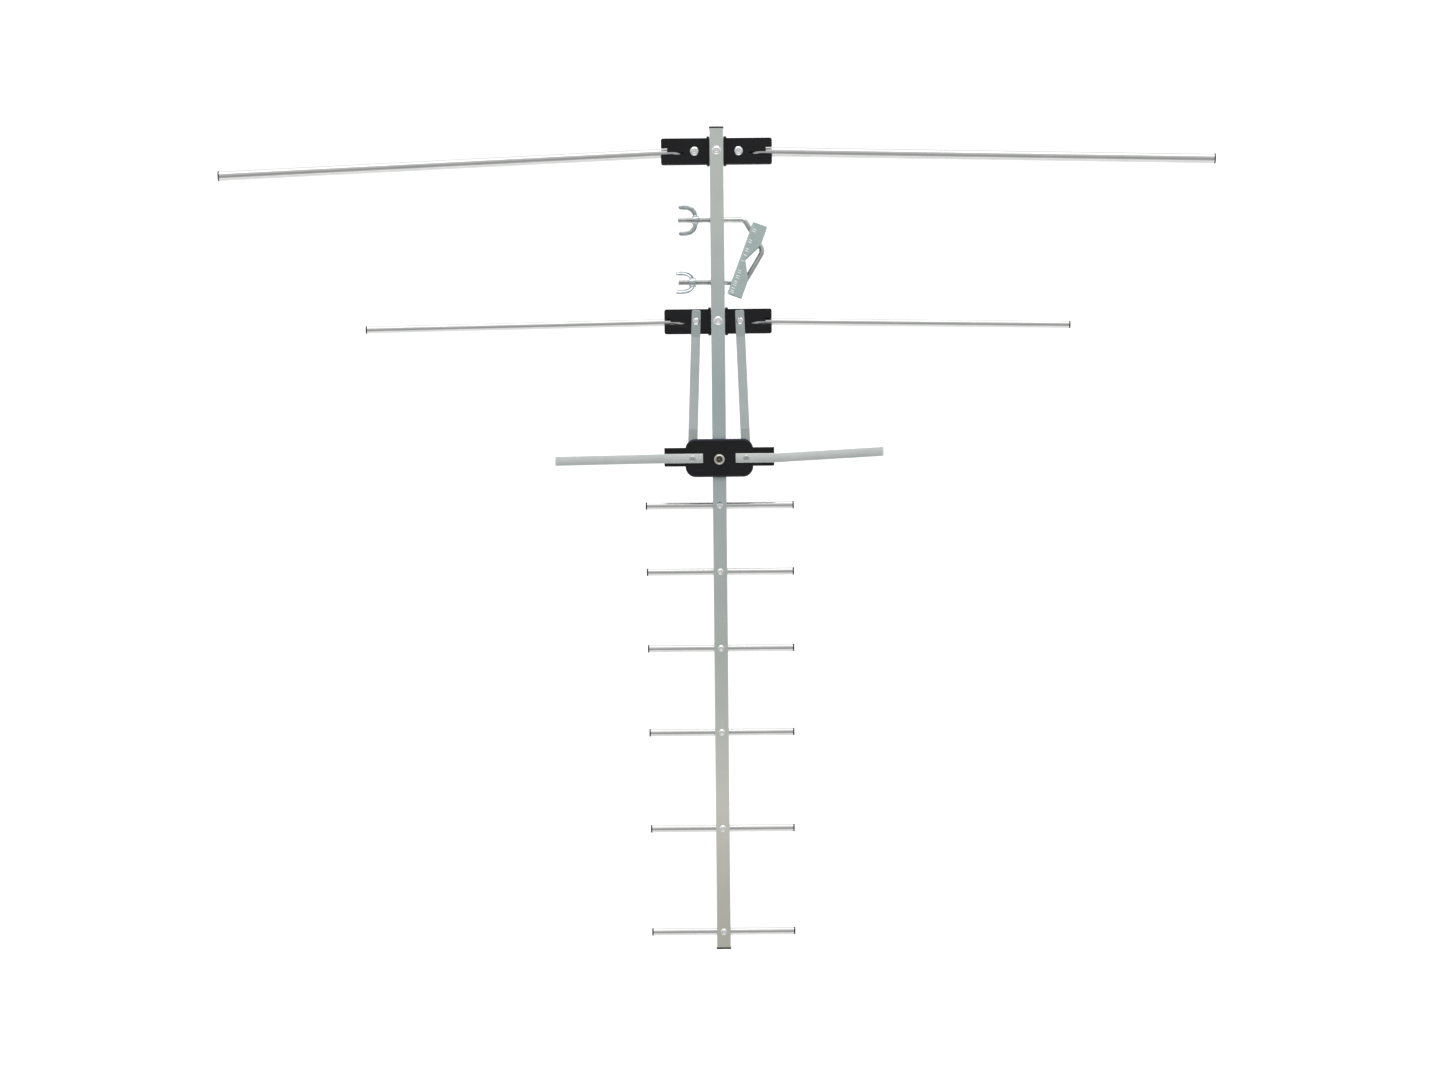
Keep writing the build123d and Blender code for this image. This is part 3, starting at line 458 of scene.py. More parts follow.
def plated_steel(name, light, dark, roughness, bump=0.03, mottle=120.0):
    """Bright zinc or nickel plate over steel: slight mottling, small dull spots and handling marks."""
    n = Nodes(name)
    clouds = n.noise(mottle, 5.0, 0.62)
    pits = n.noise(1500.0, 2.0, 0.5)
    marks = n.noise(1.0, 2.0, 0.5, (300, 1300, 800), 0.8)
    colour = n.ramp(clouds, (0.30, dark), (0.66, light))
    colour = n.mix(n.spread(pits, 0.0, 0.35, (0.60, 0.78)), colour, tuple(c * 0.6 for c in dark))
    worn = n.spread(marks, 0.0, 0.12, (0.58, 0.72))
    rough = n.maths("ADD", n.spread(clouds, roughness[1], roughness[0]), worn)
    height = n.maths("ADD", pits, n.maths("MULTIPLY", clouds, 0.8))
    return n.finish(colour, rough, n.bump(height, bump, 0.15), 1.0)


def cast_metal(name, light, dark, roughness):
    """Die-cast and bright plated: a rolling surface that breaks reflections up, over fine mottling."""
    n = Nodes(name)
    rolling = n.noise(210.0, 1.5, 0.4)
    clouds = n.noise(420.0, 4.0, 0.6)
    pits = n.noise(1700.0, 2.0, 0.5)
    colour = n.ramp(clouds, (0.32, dark), (0.62, light))
    colour = n.mix(n.spread(pits, 0.0, 0.3, (0.62, 0.78)), colour, tuple(c * 0.5 for c in dark))
    height = n.maths("ADD", rolling, n.maths("MULTIPLY", clouds, 0.06))
    return n.finish(colour, n.spread(clouds, roughness[1], roughness[0]), n.bump(height, 0.34, 1.2), 1.0)


def galvanised(name):
    """Zinc-coated sheet: large soft spangles, pale green-grey, dulled by the pressing."""
    n = Nodes(name)
    warp = n.noise(60.0, 2.0, 0.5)
    spangle = n.add("ShaderNodeTexVoronoi", {"Vector": n.coordinates, "Scale": 190.0}, feature="F1")
    grey = n.add("ShaderNodeSeparateColor", {"Color": spangle.outputs["Color"]}).outputs["Red"]
    fine = n.noise(1600.0, 3.0, 0.6)
    colour = n.ramp(grey, (0.1, (0.52, 0.63, 0.61)), (0.9, (0.55, 0.66, 0.635)))
    colour = n.mix(n.spread(warp, 0.0, 0.25), colour, (0.48, 0.575, 0.55))
    colour = n.mix(n.spread(fine, 0.0, 0.25, (0.55, 0.8)), colour, (0.42, 0.48, 0.45))
    rough = n.maths("ADD", n.spread(grey, 0.33, 0.38, (0.0, 1.0)), n.spread(fine, -0.03, 0.05))
    return n.finish(colour, rough, n.bump(n.maths("ADD", fine, grey), 0.05, 0.12), 0.6)


def speckled(name, colour, other, roughness, scale=900.0, bump=0.05, specular=0.5):
    """A plain moulded or sintered body with a fine speckle."""
    n = Nodes(name)
    fine = n.noise(scale, 3.0, 0.6)
    broad = n.noise(scale / 12, 3.0, 0.5)
    base = n.mix(n.spread(broad, 0.0, 0.7), colour, other)
    base = n.mix(n.spread(fine, 0.0, 0.4, (0.55, 0.8)), base, tuple(c * 0.5 for c in other))
    rough = n.spread(fine, roughness[0], roughness[1])
    return n.finish(base, rough, n.bump(fine, bump, 0.1), 0.0, Specular_IOR_Level=specular)


def circuit_board(name):
    """Laminate with a few tinned tracks."""
    n = Nodes(name)
    weave = n.noise(1.0, 2.0, 0.5, (1600, 500, 500))
    tracks = n.add("ShaderNodeTexWave", {"Vector": n.coordinates, "Scale": 55.0, "Distortion": 3.0,
                                         "Detail": 0.0, "Detail Scale": 1.0}).outputs["Fac"]
    base = n.ramp(weave, (0.3, (0.28, 0.20, 0.075)), (0.7, (0.36, 0.27, 0.11)))
    base = n.mix(n.spread(tracks, 0.0, 1.0, (0.86, 0.9)), base, (0.55, 0.52, 0.45))
    return n.finish(base, n.spread(weave, 0.35, 0.5), n.bump(tracks, 0.15, 0.1), 0.0)


# Painted light and shade along the boom, front to rear: pale and warm, then grey, then cooler, then pale
# again.
BOOM_PAINTED_SHADING = ((-0.75, (0.75, 0.75, 0.65)), (-0.60, (0.95, 0.95, 0.85)), (-0.45, (0.70, 0.75, 0.70)),
              (-0.15, (0.55, 0.65, 0.65)), (0.05, (0.75, 0.80, 0.75)))
MATERIALS = {
    # The boom's metal carries painted light and shade along its length.
    "boom_alloy": drawn_metal("boom_alloy", "y", (1.0, 1.0, 1.0), (0.95, 0.95, 0.95), (0.29, 0.33),
                              grain=0.6, bump=0.03, painted_shading=BOOM_PAINTED_SHADING),
    "tube_alloy": drawn_metal("tube_alloy", "x", (0.68, 0.685, 0.67), (0.63, 0.64, 0.625), (0.17, 0.23),
                              grain=0.7, bump=0.03),
    "strip_alloy": drawn_metal("strip_alloy", "y", (0.55, 0.61, 0.60), (0.495, 0.555, 0.545), (0.27, 0.33),
                               bump=0.03),
    "loop_alloy": drawn_metal("loop_alloy", "x", (0.88, 0.93, 0.90), (0.79, 0.84, 0.81), (0.22, 0.31),
                              bump=0.04),
    # The black plastic's edge colour is a painted blue highlight on side walls facing the key light.
    "black_plastic": moulded_plastic("black_plastic", (0.0055, 0.0056, 0.0062), (0.20, 0.30),
                                     navy=(0.0070, 0.0074, 0.0095), edge=(0.012, 0.016, 0.060)),
    "rivet_steel": plated_steel("rivet_steel", (0.98, 0.98, 0.97), (0.86, 0.87, 0.86), (0.06, 0.12)),
    "zinc_steel": plated_steel("zinc_steel", (0.68, 0.69, 0.68), (0.50, 0.51, 0.50), (0.06, 0.11)),
    "cast_zinc": cast_metal("cast_zinc", (0.62, 0.66, 0.67), (0.34, 0.38, 0.40), (0.06, 0.12)),
    "galvanised_sheet": galvanised("galvanised_sheet"),
    # Zinc for the saddle's pressed ribs, far paler than the sheet: a painted highlight where the ribs catch
    # the light.
    "rib_zinc_painted_highlight": plated_steel("rib_zinc_painted_highlight", (0.95, 0.96, 0.95), (0.86, 0.88, 0.87), (0.30, 0.42)),
    "nickel": plated_steel("nickel", (0.80, 0.78, 0.70), (0.66, 0.64, 0.56), (0.12, 0.20)),
    "insulator": speckled("insulator", (0.055, 0.059, 0.036), (0.040, 0.043, 0.026), (0.4, 0.55),
                          specular=0.3),
    "contact_brass": plated_steel("contact_brass", (0.86, 0.66, 0.32), (0.62, 0.45, 0.20), (0.2, 0.34)),
    "board": circuit_board("board"),
    "ferrite": speckled("ferrite", (0.030, 0.028, 0.027), (0.050, 0.046, 0.043), (0.45, 0.65),
                        scale=1500.0, bump=0.2),
    "copper_wire": drawn_metal("copper_wire", "x", (0.80, 0.34, 0.15), (0.62, 0.22, 0.09), (0.2, 0.32),
                               grain=0.6),
}


# ---------------------------------------------------------------- tube elements
def superellipse(x, half_width, half_height, power, segments=56):
    ring = []
    for k in range(segments):
        a = 2 * math.pi * k / segments
        c, s = math.cos(a), math.sin(a)
        ring.append((x, half_width * math.copysign(abs(c) ** (2 / power), c),
                     half_height * math.copysign(abs(s) ** (2 / power), s)))
    return ring


def arm_shape(diameter, reach):
    """A folding arm along +X from its pivot: pressed flat tab, crimp and round tube."""
    flat = TAB_THICKNESS + math.pi * (diameter - TAB_THICKNESS) / 2
    corner = flat * 0.42
    rings = []
    for step in range(9):
        e = corner * (1 - math.cos(math.pi / 2 * step / 8))
        width = flat / 2 - corner + math.sqrt(max(0.0, corner ** 2 - (corner - e) ** 2))
        rings.append(superellipse(-TAB_TAIL + e, width, TAB_THICKNESS / 2 - 0.25 * (1 - step / 8) ** 2, 6.0))
    for step in range(23):
        t = step / 22
        x = CRIMP[0] + (CRIMP[1] - CRIMP[0]) * t
        s = t * t * (3 - 2 * t)
        half_width = flat / 2 + (diameter / 2 - flat / 2) * s
        half_thickness = TAB_THICKNESS / 2 + (diameter - TAB_THICKNESS) / 2 * s
        rings.append(superellipse(x, half_width, half_thickness, 6.0 - 4.0 * s ** 0.6))
    rings.append(superellipse(reach - CAP_FLANGE, diameter / 2, diameter / 2, 2.0))
    return skin(rings)


def cap_shape(diameter):
    """A moulded end cap on a tube that ends at x = 0: eased flange, shallow dish and a gate mark."""
    r = diameter / 2 + CAP_LIP
    plug = diameter / 2 - TUBE_WALL
    profile = [(0, -CAP_PLUG), (plug - 0.3, -CAP_PLUG), (plug, 1.0 - CAP_PLUG),
               (plug, 0.0), (r, 0.0), (r, CAP_FLANGE - 0.1), (r - 0.5, CAP_FLANGE),
               (r * 0.62, CAP_FLANGE), (r * 0.55, CAP_FLANGE - 0.25), (0.7, CAP_FLANGE - 0.28),
               (0.6, CAP_FLANGE - 0.05), (0, CAP_FLANGE - 0.05)]
    return placed(lathe(rounded(profile, 0.4), 56), turned(90, "Y"))


for family, d in FAMILIES.items():
    for side, sign in SIDES.items():
        heading = -d["sweep"][side] if sign > 0 else 180 + d["sweep"][side]
        where = at(sign * PIVOT_X, d["y"], d["z"]) @ turned(heading)
        body = f"{family}_{side}"
        piece(f"tube_{family}_{side}", arm_shape(d["tube"], d["reach"]), MATERIALS["tube_alloy"], body,
              [f"{family}_arm_{side}"], where)
        piece(f"endcap_{family}_{side}", placed(cap_shape(d["tube"]), at(d["reach"] - CAP_FLANGE)),
              MATERIALS["black_plastic"], body, [f"{family}_cap_{side}"], where)

caps = []
for number, y in enumerate(DIRECTOR_Y, 1):
    low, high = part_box(f"director_{number}")
    half = (high.x - low.x) / 2 / MM
    radius = (high.z - low.z) / 2 / MM
    rod = skin([superellipse(x, radius, radius, 2.0) for x in (-half, -BOOM_HALF, BOOM_HALF, half)])
    piece(f"director_tube_{number}", rod, MATERIALS["tube_alloy"], "boom",
          [f"director_{number}"], at(0, y))
    for sign in (-1, 1):
        caps.append(placed(cap_shape(2 * radius), at(sign * half, y) @ turned(0 if sign > 0 else 180)))
piece("director_endcaps", joined(*caps), MATERIALS["black_plastic"], "boom",
      ["director_caps"])


# ---------------------------------------------------------------- rods, strips and fasteners
def filleted(corners, radii, degrees_per_step=5):
    """Points along a flat path with true arcs at its corners, in order."""
    path = [Vector(corners[0])]
    for before, corner, after, radius in zip(corners, corners[1:], corners[2:], radii):
        b, c, a = Vector(before), Vector(corner), Vector(after)
        u, v = (b - c).normalized(), (a - c).normalized()
        half = u.angle(v) / 2
        tangent = radius / math.tan(half)
        centre_of_arc = c + (u + v).normalized() * (radius / math.sin(half))
        start = c + u * tangent - centre_of_arc
        end = c + v * tangent - centre_of_arc
        steps = max(3, round(math.degrees(start.angle(end)) / degrees_per_step))
        axis = start.cross(end).normalized()
        for step in range(steps + 1):
            path.append(centre_of_arc + Matrix.Rotation(start.angle(end) * step / steps, 3, axis) @ start)
    return path + [Vector(corners[-1])]


def swept(path, section, up):
    """A section carried along a flat path. The section's own axes are across the path and along up."""
    up = Vector(up)
    rings = []
    for i, point in enumerate(path):
        before = path[max(0, i - 1)]
        after = path[min(len(path) - 1, i + 1)]
        one, two = (point - before).normalized(), (after - point).normalized()
        tangent = (one + two).normalized()
        across = up.cross(tangent).normalized()
        widen = 1.0
        if one.length and two.length:
            widen = 1.0 / max(0.6, math.cos(one.angle(two) / 2))
        rings.append([point + across * (a * widen) + up * b for a, b in section])
    return skin(rings)


def circle(radius, segments=28):
    return [(radius * math.cos(2 * math.pi * k / segments), radius * math.sin(2 * math.pi * k / segments))
            for k in range(segments)]


def v_bolt_shape():
    """The bent rod, with a rolled thread from each free end to inside the boom."""
    corners = [(THREAD_END_X, LEG_Y, 0), (BEND_X, LEG_Y, 0), (APEX_X, 0, 0), (BEND_X, -LEG_Y, 0),
               (THREAD_END_X, -LEG_Y, 0)]
    path = filleted(corners, (BEND_RADIUS, APEX_RADIUS, BEND_RADIUS), 4)
    rod = swept(path, circle(ROD / 2), (0, 0, 1))
    thread = skin(threaded_rings(LEG_END_X, THREAD_END_X, ROD / 2, *ROD_THREAD, 28))
    return joined(rod, *[placed(thread, at(0, y)) for y in (LEG_Y, -LEG_Y)])


piece("rod_v_bolt", v_bolt_shape(), MATERIALS["zinc_steel"], "v_bolt", ["v_bolt"])


def horn_shape():
    """One ear of a wing nut in the XZ plane, from the hub out and back to its rounded tip."""
    line = [Vector(p) for p in ((3.6, 0, 3.7), (6.6, 0, 4.1), (9.6, 0, 5.6), (12.0, 0, 8.0), (13.5, 0, 11.2),
                                (14.1, 0, 15.0), (14.2, 0, 19.0))]
    fine = []
    for i in range(len(line) - 1):
        p0, p1, p2, p3 = line[max(0, i - 1)], line[i], line[i + 1], line[min(len(line) - 1, i + 2)]
        for step in range(6):
            t = step / 6
            fine.append(0.5 * ((2 * p1) + (p2 - p0) * t + (2 * p0 - 5 * p1 + 4 * p2 - p3) * t * t
                               + (3 * p1 - p0 - 3 * p2 + p3) * t ** 3))
    fine.append(line[-1])
    rings = []
    half_width, half_thickness, tip = 2.75, 1.5, 2.95
    for i, point in enumerate(fine):
        tangent = (fine[min(i + 1, len(fine) - 1)] - fine[max(i - 1, 0)]).normalized()
        across = Vector((0, 1, 0)).cross(tangent)
        grow = 0.86 + 0.14 * min(1.0, i / 12)
        rings.append([point + across * c[1] + Vector((0, c[2], 0))
                      for c in superellipse(0, half_width * grow, half_thickness, 2.15, 24)])
    for step in range(1, 8):
        a = math.pi / 2 * step / 8
        end_width = half_width * math.cos(a)
        end_thickness = half_thickness * (0.5 + 0.5 * math.cos(a))
        rings.append([fine[-1] + Vector((-c[1], c[2], tip * math.sin(a)))
                      for c in superellipse(0, end_width, end_thickness, 2.15, 24)])
    return skin(rings)


def wing_nut_mesh(name):
    """Hub and ears run together as one casting, with soft corners where they meet."""
    bore = ROD / 2 + 0.15
    hub = lathe([(bore, 0.2), (bore + 0.5, 0.0), (5.0, 0.0), (5.45, 0.4), (5.5, 2.4), (5.0, 4.6), (4.5, 7.2),
                 (4.2, 7.5), (bore + 0.5, 7.5), (bore, 7.2), (bore, 0.2)], 64)
    cast = to_mesh(name, joined(hub, horn_shape(), placed(horn_shape(), turned(180))))
    return baked(cast, ("REMESH", {"mode": "VOXEL", "voxel_size": 0.33 * MM, "use_smooth_shade": True}),
                 ("SMOOTH", {"factor": 0.5, "iterations": 4}))


for which, (face_x, y, turn) in NUT_PLACES.items():
    piece(f"wingnut_{which}", wing_nut_mesh(which), MATERIALS["cast_zinc"], f"{which}_nut",
          [f"wing_nut_{which}"], at(face_x, y) @ turned(-90, "Y") @ turned(90 + turn), 60)


def tooth_shape():
    """A pressed rib, 4 mm long: rounded ends, sloping shoulders, raised 0.45 mm."""
    levels = ((0.62, 2.15, -0.1), (0.60, 2.1, 0.0), (0.42, 1.9, 0.28), (0.2, 1.7, 0.36))
    rings = [[(x, y, z) for x, y in rounded_rectangle(2 * long, 2 * wide, wide * 0.95, 4)]
             for wide, long, z in levels]
    return skin(rings)


saddle_place = at(*SADDLE_CENTRE) @ turned(-SADDLE_TILT)
ribs = []
for along in TEETH:
    reach = TOOTH_FROM_WEB if along > 0 or along < -10 else NARROW_TOOTH_FROM_WEB
    front = placed(tooth_shape(), at(reach, along, SADDLE_HALF_WIDTH) @ turned(TOOTH_LEAN))
    rear = placed(tooth_shape(), at(reach, along, -SADDLE_HALF_WIDTH) @ turned(180, "X"))
    ribs += [placed(front, saddle_place), placed(rear, saddle_place)]
piece("saddle_plate", eased(copied("mast_saddle"), 0.35), MATERIALS["galvanised_sheet"], "saddle",
      ["mast_saddle"], sharp=30)
# The ribs' pale zinc is a painted highlight.
piece("saddle_teeth", joined(*ribs), MATERIALS["rib_zinc_painted_highlight"], "saddle")


def rivet_head(head, height, mandrel):
    """A set blind rivet from the front: domed flange, rolled rim round the hole, mandrel left inside."""
    profile = [(0, height - 0.35), (mandrel * 0.75, height - 0.38), (mandrel, height - 0.55),
               (mandrel + 0.05, height - 1.0), (mandrel + 0.35, height - 1.0),
               (mandrel + 0.45, height - 0.12), (mandrel + 0.85, height),
               (head * 0.33, height * 0.96), (head * 0.44, height * 0.55), (head * 0.497, height * 0.2),
               (head * 0.5, 0.0), (0, 0.0)]
    return lathe(rounded(profile[::-1], 0.22), 56)


def pan_head(radius, height):
    """A pan-head screw from the front, with its washer face."""
    profile = [(0, 0), (radius, 0.0), (radius, height * 0.35), (radius * 0.9, height * 0.72),
               (radius * 0.62, height * 0.95), (0, height)]
    return lathe(rounded(profile, 0.5, 6), 56)


def cross_recess(size, depth):
    """A cutter for a cross recess, tapering to its floor."""
    arms = []
    for turn in (0, 90):
        rings = [[(x, y, z) for x, y in rounded_rectangle(size * k, 0.95 * w, 0.2, 2)]
                 for z, k, w in ((-depth, 0.45, 0.7), (0.8, 1.05, 1.1))]
        arms.append(placed(skin(rings), turned(turn)))
    return arms


def spread_over(shape, *places):
    return joined(*[placed(shape, place) for place in places])


def z_top(node):
    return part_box(node)[1].z / MM


def rivet_tail(low, seat, shank, set_head):
    """A rivet's shank up to its seat, with its spread rear head where it has one."""
    profile = [(0, low), (1.4, low), (3.2, low + 1.0), (3.9, low + 2.2), (shank, low + 2.3)]
    if not set_head:
        profile = [(0, low), (shank, low)]
    return lathe(profile + [(shank, seat - 0.01), (0, seat - 0.01)], 40)


REFLECTOR_Y, DIPOLE_Y = (FAMILIES[family]["y"] for family in ("reflector", "dipole"))
# Each node of rivets: head diameter and height, mandrel radius, shank radius, spread rear head, places.
RIVETS = {
    "reflector_pivot_rivets": (10.0, 1.7, 1.5, 2.5, True, [(-PIVOT_X, REFLECTOR_Y), (PIVOT_X, REFLECTOR_Y)]),
    "dipole_pivot_rivets": (8.0, 1.7, 1.3, 2.5, True, [(-PIVOT_X, DIPOLE_Y), (PIVOT_X, DIPOLE_Y)]),
    "reflector_holder_rivet": (9.6, 1.7, 1.2, 2.0, True, [(0, REFLECTOR_Y)]),
    "dipole_holder_rivet": (9.6, 1.7, 1.2, 2.0, True, [(0, DIPOLE_Y)]),
    "director_rivets": (7.0, 1.6, 0.95, 1.6, False, [(0, y) for y in DIRECTOR_Y]),
}
for node, (head, height, mandrel, shank, set_head, places) in RIVETS.items():
    seat = z_top(node) - height
    rivet = joined(placed(rivet_head(head, height, mandrel), at(0, 0, seat)),
                   rivet_tail(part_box(node)[0].z / MM, seat, shank, set_head))
    piece("heads_" + node, spread_over(rivet, *[at(x, y) for x, y in places]), MATERIALS["rivet_steel"],
          "boom", [node])


SCREW_HEAD = (3.4, 2.2)         # radius and height
SCREW_SHANK = 2.0
SCREW_RECESS = (3.6, 1.5)       # size and depth
SCREW_TURN = 24.0


def terminal_screws_mesh():
    """Both terminal screws: pan heads with a cross recess, over plain shanks with an eased end."""
    top = z_top("terminal_screws")
    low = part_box("terminal_screws")[0].z / MM
    seat = top - SCREW_HEAD[1]
    head = to_mesh("screw", placed(pan_head(*SCREW_HEAD), at(0, 0, seat)))
    for cutter in cross_recess(*SCREW_RECESS):
        head = cut(head, to_mesh("cutter", placed(cutter, at(0, 0, top - 0.2) @ turned(SCREW_TURN))))
    shank = to_mesh("shank", lathe([(0, low), (SCREW_SHANK - 0.4, low), (SCREW_SHANK, low + 0.6),
                                    (SCREW_SHANK, seat + 0.2), (0, seat + 0.2)], 32))
    bm = bmesh.new()
    for sign in (-1, 1):
        for source in (head, shank):
            moved = source.copy()
            moved.transform(Matrix.Translation((sign * TERMINAL[0] * MM, TERMINAL[1] * MM, 0)))
            bm.from_mesh(moved)
    both = bpy.data.meshes.new("screws")
    bm.to_mesh(both)
    bm.free()
    return both


piece("pan_head_screws", terminal_screws_mesh(), MATERIALS["zinc_steel"], "boom",
      ["terminal_screws"], sharp=34)


def wing_path(side):
    """One half of the folded dipole's strip, from the rear leg round the bend to the front leg's end."""
    sign = SIDES[side]
    radius = (LOOP_Z[1] - LOOP_Z[0]) / 2
    bend_x = LOOP_HALF - STRIP[1] / 2 - radius
    path = [Vector((0, 0, LOOP_Z[0])), Vector((LOOP_SET_X, 0, LOOP_Z[0]))]
    for step in range(25):
        a = -math.pi / 2 + math.pi * step / 24
        path.append(Vector((bend_x + radius * math.cos(a), 0, LOOP_Z[0] + radius + radius * math.sin(a))))
    path += [Vector((LOOP_SET_X, 0, LOOP_Z[1])), Vector((LOOP_FRONT_END_X, 0, LOOP_Z[1]))]
    slope = math.tan(math.radians(LOOP_SET[side]))
    bent = []
    for point in path:
        lean = max(0.0, point.x - LOOP_SET_X) * slope
        bent.append(Vector((sign * point.x, TERMINAL[1] + lean, point.z)))
    return bent


def strip_section(width, thickness, edge=0.35):
    return rounded_rectangle(width, thickness, edge, 3)


def loop_shape():
    wings = []
    for side in SIDES:
        path = wing_path(side)
        rings = []
        for i, point in enumerate(path):
            before, after = path[max(0, i - 1)], path[min(len(path) - 1, i + 1)]
            tangent = after - before
            tangent.y = 0
            tangent.normalize()
            normal = Vector((0, 1, 0)).cross(tangent)
            rings.append([point + Vector((0, a, 0)) + normal * b for a, b in strip_section(*STRIP)])
        wings.append(skin(rings))
    return joined(*wings)


piece("loop_strip", loop_shape(), MATERIALS["loop_alloy"], "boom",
      ["folded_dipole"], sharp=50)


def phasing_shape(side):
    """A flat strip with two rounded corners, level at its pivot and sloping up into the box."""
    sign = SIDES[side]
    low, high = HOLDER_TOP_Z + STRIP[1] / 2, STRIP_BOX_Z + STRIP[1] / 2
    run = DIPOLE_Y - TERMINAL[1]
    corners = [(0, STRIP_OVERHANG, low), (0, STRIP_RAMP[0], low), (0, STRIP_RAMP[1], high),
               (0, -run - STRIP_TAIL, high)]
    path = filleted(corners, (4.0, 4.0), 4)
    rings = []
    for i, point in enumerate(path):
        before, after = path[max(0, i - 1)], path[min(len(path) - 1, i + 1)]
        normal = Vector((1, 0, 0)).cross((after - before).normalized())
        rings.append([point + Vector((a, 0, 0)) + normal * b for a, b in strip_section(*STRIP)])
    first = rings[0]
    start = []
    for step in range(5):
        back = STRIP_CORNER * (1 - math.cos(math.pi / 2 * step / 5))
        pull = STRIP_CORNER - math.sqrt(max(0.0, STRIP_CORNER ** 2 - (STRIP_CORNER - back) ** 2))
        narrow = 1 - pull / (STRIP[0] / 2)
        start.append([Vector((p[0] * narrow, p[1] - back, p[2])) for p in first])
    lean = math.degrees(math.atan2(TERMINAL[0] - PIVOT_X, run)) * sign
    return placed(skin(start + rings[1:]), at(sign * PIVOT_X, DIPOLE_Y) @ turned(lean))


for side in SIDES:
    node = "phasing_strip_" + side
    piece("feed_strip_" + side, phasing_shape(side), MATERIALS["strip_alloy"], "boom",
          [node], sharp=50)


def connector_shape():
    """Threaded barrel with a plain collar, a lead chamfer and a counterbored mouth."""
    low, high = (corner.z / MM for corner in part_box("connector_shell"))
    collar, collar_low, collar_high = COLLAR
    radius, pitch, depth = F_THREAD
    bore, core = BARREL_BORE, 4.2
    outside = rounded([(bore, low), (BARREL_RADIUS, low), (BARREL_RADIUS, collar_low), (collar, collar_low),
                       (collar, collar_high), (core, collar_high)], 0.3)
    inside = [(core, high), (bore + 0.35, high), (bore, high - 0.5), (bore, low)]
    thread_low = collar_high - 0.2
    near, far = ([(x, y, z) for y, z in circle(core - 0.3, 48)] for x in (high, thread_low))
    turns = threaded_rings(high, thread_low, radius, pitch, depth, 48, 8)
    thread = skin([near] + turns + [far, near], False, False)
    return joined(lathe(outside + inside, 64), placed(thread, turned(-90, "Y")))


piece("connector_barrel", placed(connector_shape(), at(0, CONNECTOR_Y)), MATERIALS["nickel"], "boom",
      ["connector_shell"], sharp=50)

# Mouldings, nuts and the balun board keep their CAD form, with every edge given its moulding or sawn radius.
FINISHED = {"reflector_holder": 0.45, "dipole_holder": 0.45, "box_cover": 0.12, "box_base": 0.3,
            "boom_cap_rear": 0.4, "boom_cap_front": 0.4, "terminal_nuts": 0.2, "connector_nut": 0.2,
            "balun_board": 0.12, "connector_insulator": 0.12}
# The box cover has a shallow groove inside its rim and another round the connector.
GROOVE_DEPTH = 0.22
RIM_GROOVE = (3.6, 4.2)         # in from the cover's outline
RING_GROOVE = (8.9, 8.4)        # radii round the connector


def groove(outer, inner):
    """A cutter for a shallow groove between two outlines on the box cover's face."""
    low, high = COVER_TOP_Z - GROOVE_DEPTH, COVER_TOP_Z + 1.0
    loops = [[(x, y, z) for x, y in outline] for outline, z in
             ((outer, low), (outer, high), (inner, high), (inner, low), (outer, low))]
    return skin(loops, False, False)


def rim(inset):
    outline = rounded_rectangle(BOX_SIZE[0] - 2 * inset, BOX_SIZE[1] - 2 * inset, BOX_CORNER - inset)
    return [(x, y + BOX_Y) for x, y in outline]


def ring_outline(radius):
    return [(x, y + CONNECTOR_Y) for x, y in circle(radius, 64)]


groove_cutters = [to_mesh("groove", groove(*[rim(inset) for inset in RIM_GROOVE])),
                  to_mesh("groove", groove(*[ring_outline(radius) for radius in RING_GROOVE]))]
for node, width in FINISHED.items():
    mesh = copied(node)
    if node == "box_cover":
        mesh = cut(mesh, *groove_cutters)
    piece("finished_" + node, eased(mesh, width), MATERIALS[SLOT_OF[node]], "boom", [node],
          sharp=32)


# ---------------------------------------------------------------- everything that keeps its CAD shape
for name, node in NODES.items():
    chosen = MATERIALS[SLOT_OF[name]]
    if name == "folded_dipole":
        chosen = MATERIALS["loop_alloy"]
    for index in range(len(node.material_slots)):
        node.material_slots[index].material = chosen
    if not node.material_slots:
        node.data.materials.append(chosen)


# ---------------------------------------------------------------- floor, light and camera
centre = (cad_box[0] + cad_box[1]) / 2


def look(obj, target):
    obj.rotation_mode = "QUATERNION"
    obj.rotation_quaternion = (Vector(target) - obj.location).to_track_quat("-Z", "Y")


def softbox(name, location, size, power, target):
    light = bpy.data.lights.new(name, "AREA")
    light.shape = "RECTANGLE"
    light.size, light.size_y = size
    light.energy = power
    obj = bpy.data.objects.new(name, light)
    SCENE.collection.objects.link(obj)
    obj.location = location
    look(obj, target)
    return obj


FLOOR_DROP = 0.28
FLOOR_RINGS = (30000.0, 3000.0, 300.0, 10.0)
FLOOR_GLOW = 0.57
# Brightness of the studio round the part, by direction from its front (-1) over the top to its rear (1).
# It is brightest behind the reflector end and darkest just forward of overhead.
SURROUND = ((-1.0, 0.80), (-0.88, 0.74), (-0.70, 0.64), (-0.5, 0.46), (-0.22, 0.41), (0.0, 0.57),
            (0.3, 0.70), (0.6, 0.85), (1.0, 0.90))


def paper_material():
    n = Nodes("floor_paper")
    paper = n.noise(900.0, 3.0, 0.5)
    n.shader.inputs["Emission Color"].default_value = (1, 1, 1, 1)
    n.shader.inputs["Emission Strength"].default_value = FLOOR_GLOW
    return n.finish(n.ramp(paper, (0.3, (0.80, 0.80, 0.80)), (0.7, (0.84, 0.84, 0.84))),
                    n.spread(paper, 0.75, 0.85), n.bump(paper, 0.05, 0.2), 0.0, Specular_IOR_Level=0.2)


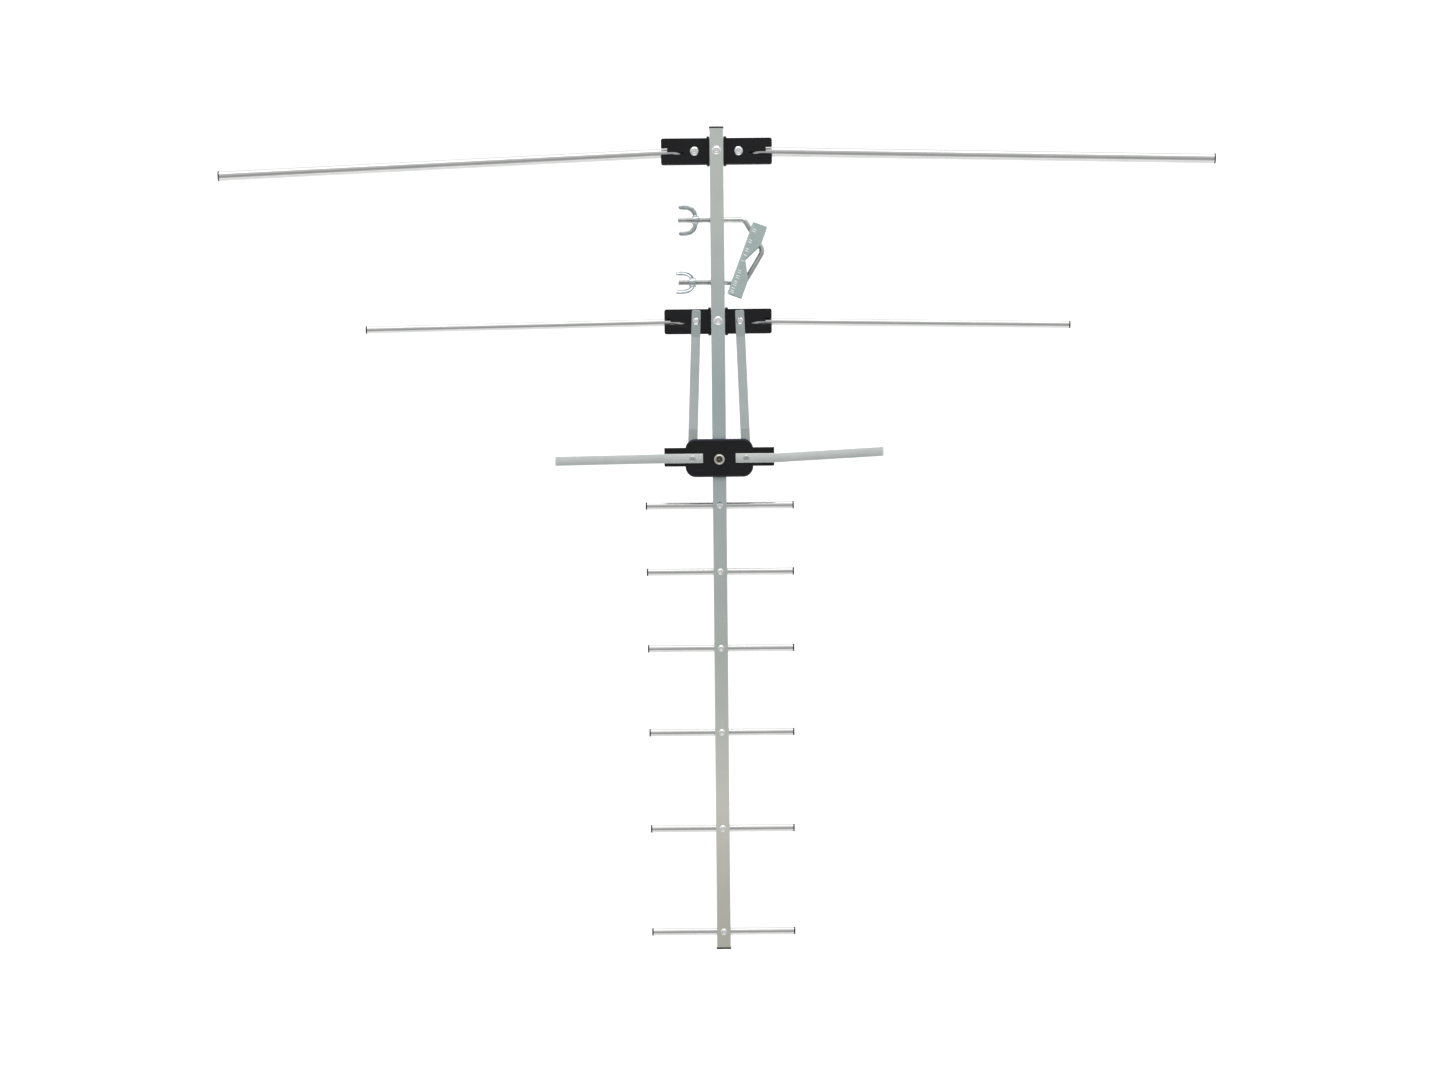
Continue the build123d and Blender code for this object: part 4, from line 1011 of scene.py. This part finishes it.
def make_floor():
    rings = [[(x, y, 0) for x, y in circle(radius, 64)] for radius in FLOOR_RINGS]
    mesh = to_mesh("floor", skin(rings, cap_start=False))
    mesh.materials.append(paper_material())
    obj = bpy.data.objects.new("floor", mesh)
    SCENE.collection.objects.link(obj)
    obj.location = (centre.x, centre.y, cad_box[0].z - FLOOR_DROP)
    return obj


def make_surround():
    world = bpy.data.worlds.new("studio")
    SCENE.world = world
    world.use_nodes = True
    tree = world.node_tree
    direction = tree.nodes.new("ShaderNodeTexCoord")
    parts = tree.nodes.new("ShaderNodeSeparateXYZ")
    halved = tree.nodes.new("ShaderNodeMapRange")
    halved.inputs["From Min"].default_value = -1.0
    ramp = tree.nodes.new("ShaderNodeValToRGB")
    tree.links.new(direction.outputs["Generated"], parts.inputs[0])
    tree.links.new(parts.outputs["Y"], halved.inputs["Value"])
    tree.links.new(halved.outputs["Result"], ramp.inputs["Fac"])
    tree.links.new(ramp.outputs["Color"], tree.nodes["Background"].inputs["Color"])
    elements = ramp.color_ramp.elements
    while len(elements) < len(SURROUND):
        elements.new(0.5)
    for element, (y, grey) in zip(elements, SURROUND):
        element.position = (y + 1) / 2
        element.color = (grey, grey, grey * 1.01, 1)


make_floor()
softbox("key_softbox", centre + Vector((0, 3.1, 1.3)), (3.6, 1.6), 30.0, centre)
softbox("fill_softbox", centre + Vector((0, -3.0, 1.3)), (3.4, 1.2), 8.0, centre)
make_surround()

CAMERA_DISTANCE = 5.0
FRAME_WIDTH = 1.553
SENSOR_WIDTH = 36.0
CAMERA_OFFSET = Vector((-0.0013, -0.0014, 0))
CAMERA_ROLL = -0.0095
camera_data = bpy.data.cameras.new("camera")
camera_data.sensor_width = SENSOR_WIDTH
camera_data.lens = SENSOR_WIDTH * CAMERA_DISTANCE / FRAME_WIDTH
camera_data.clip_end = 100.0
camera = bpy.data.objects.new("camera", camera_data)
SCENE.collection.objects.link(camera)
SCENE.camera = camera
camera.location = (centre.x + CAMERA_OFFSET.x, centre.y + CAMERA_OFFSET.y, CAMERA_DISTANCE)
camera.rotation_euler = (0, 0, CAMERA_ROLL)
SCENE.view_settings.view_transform = "Standard"
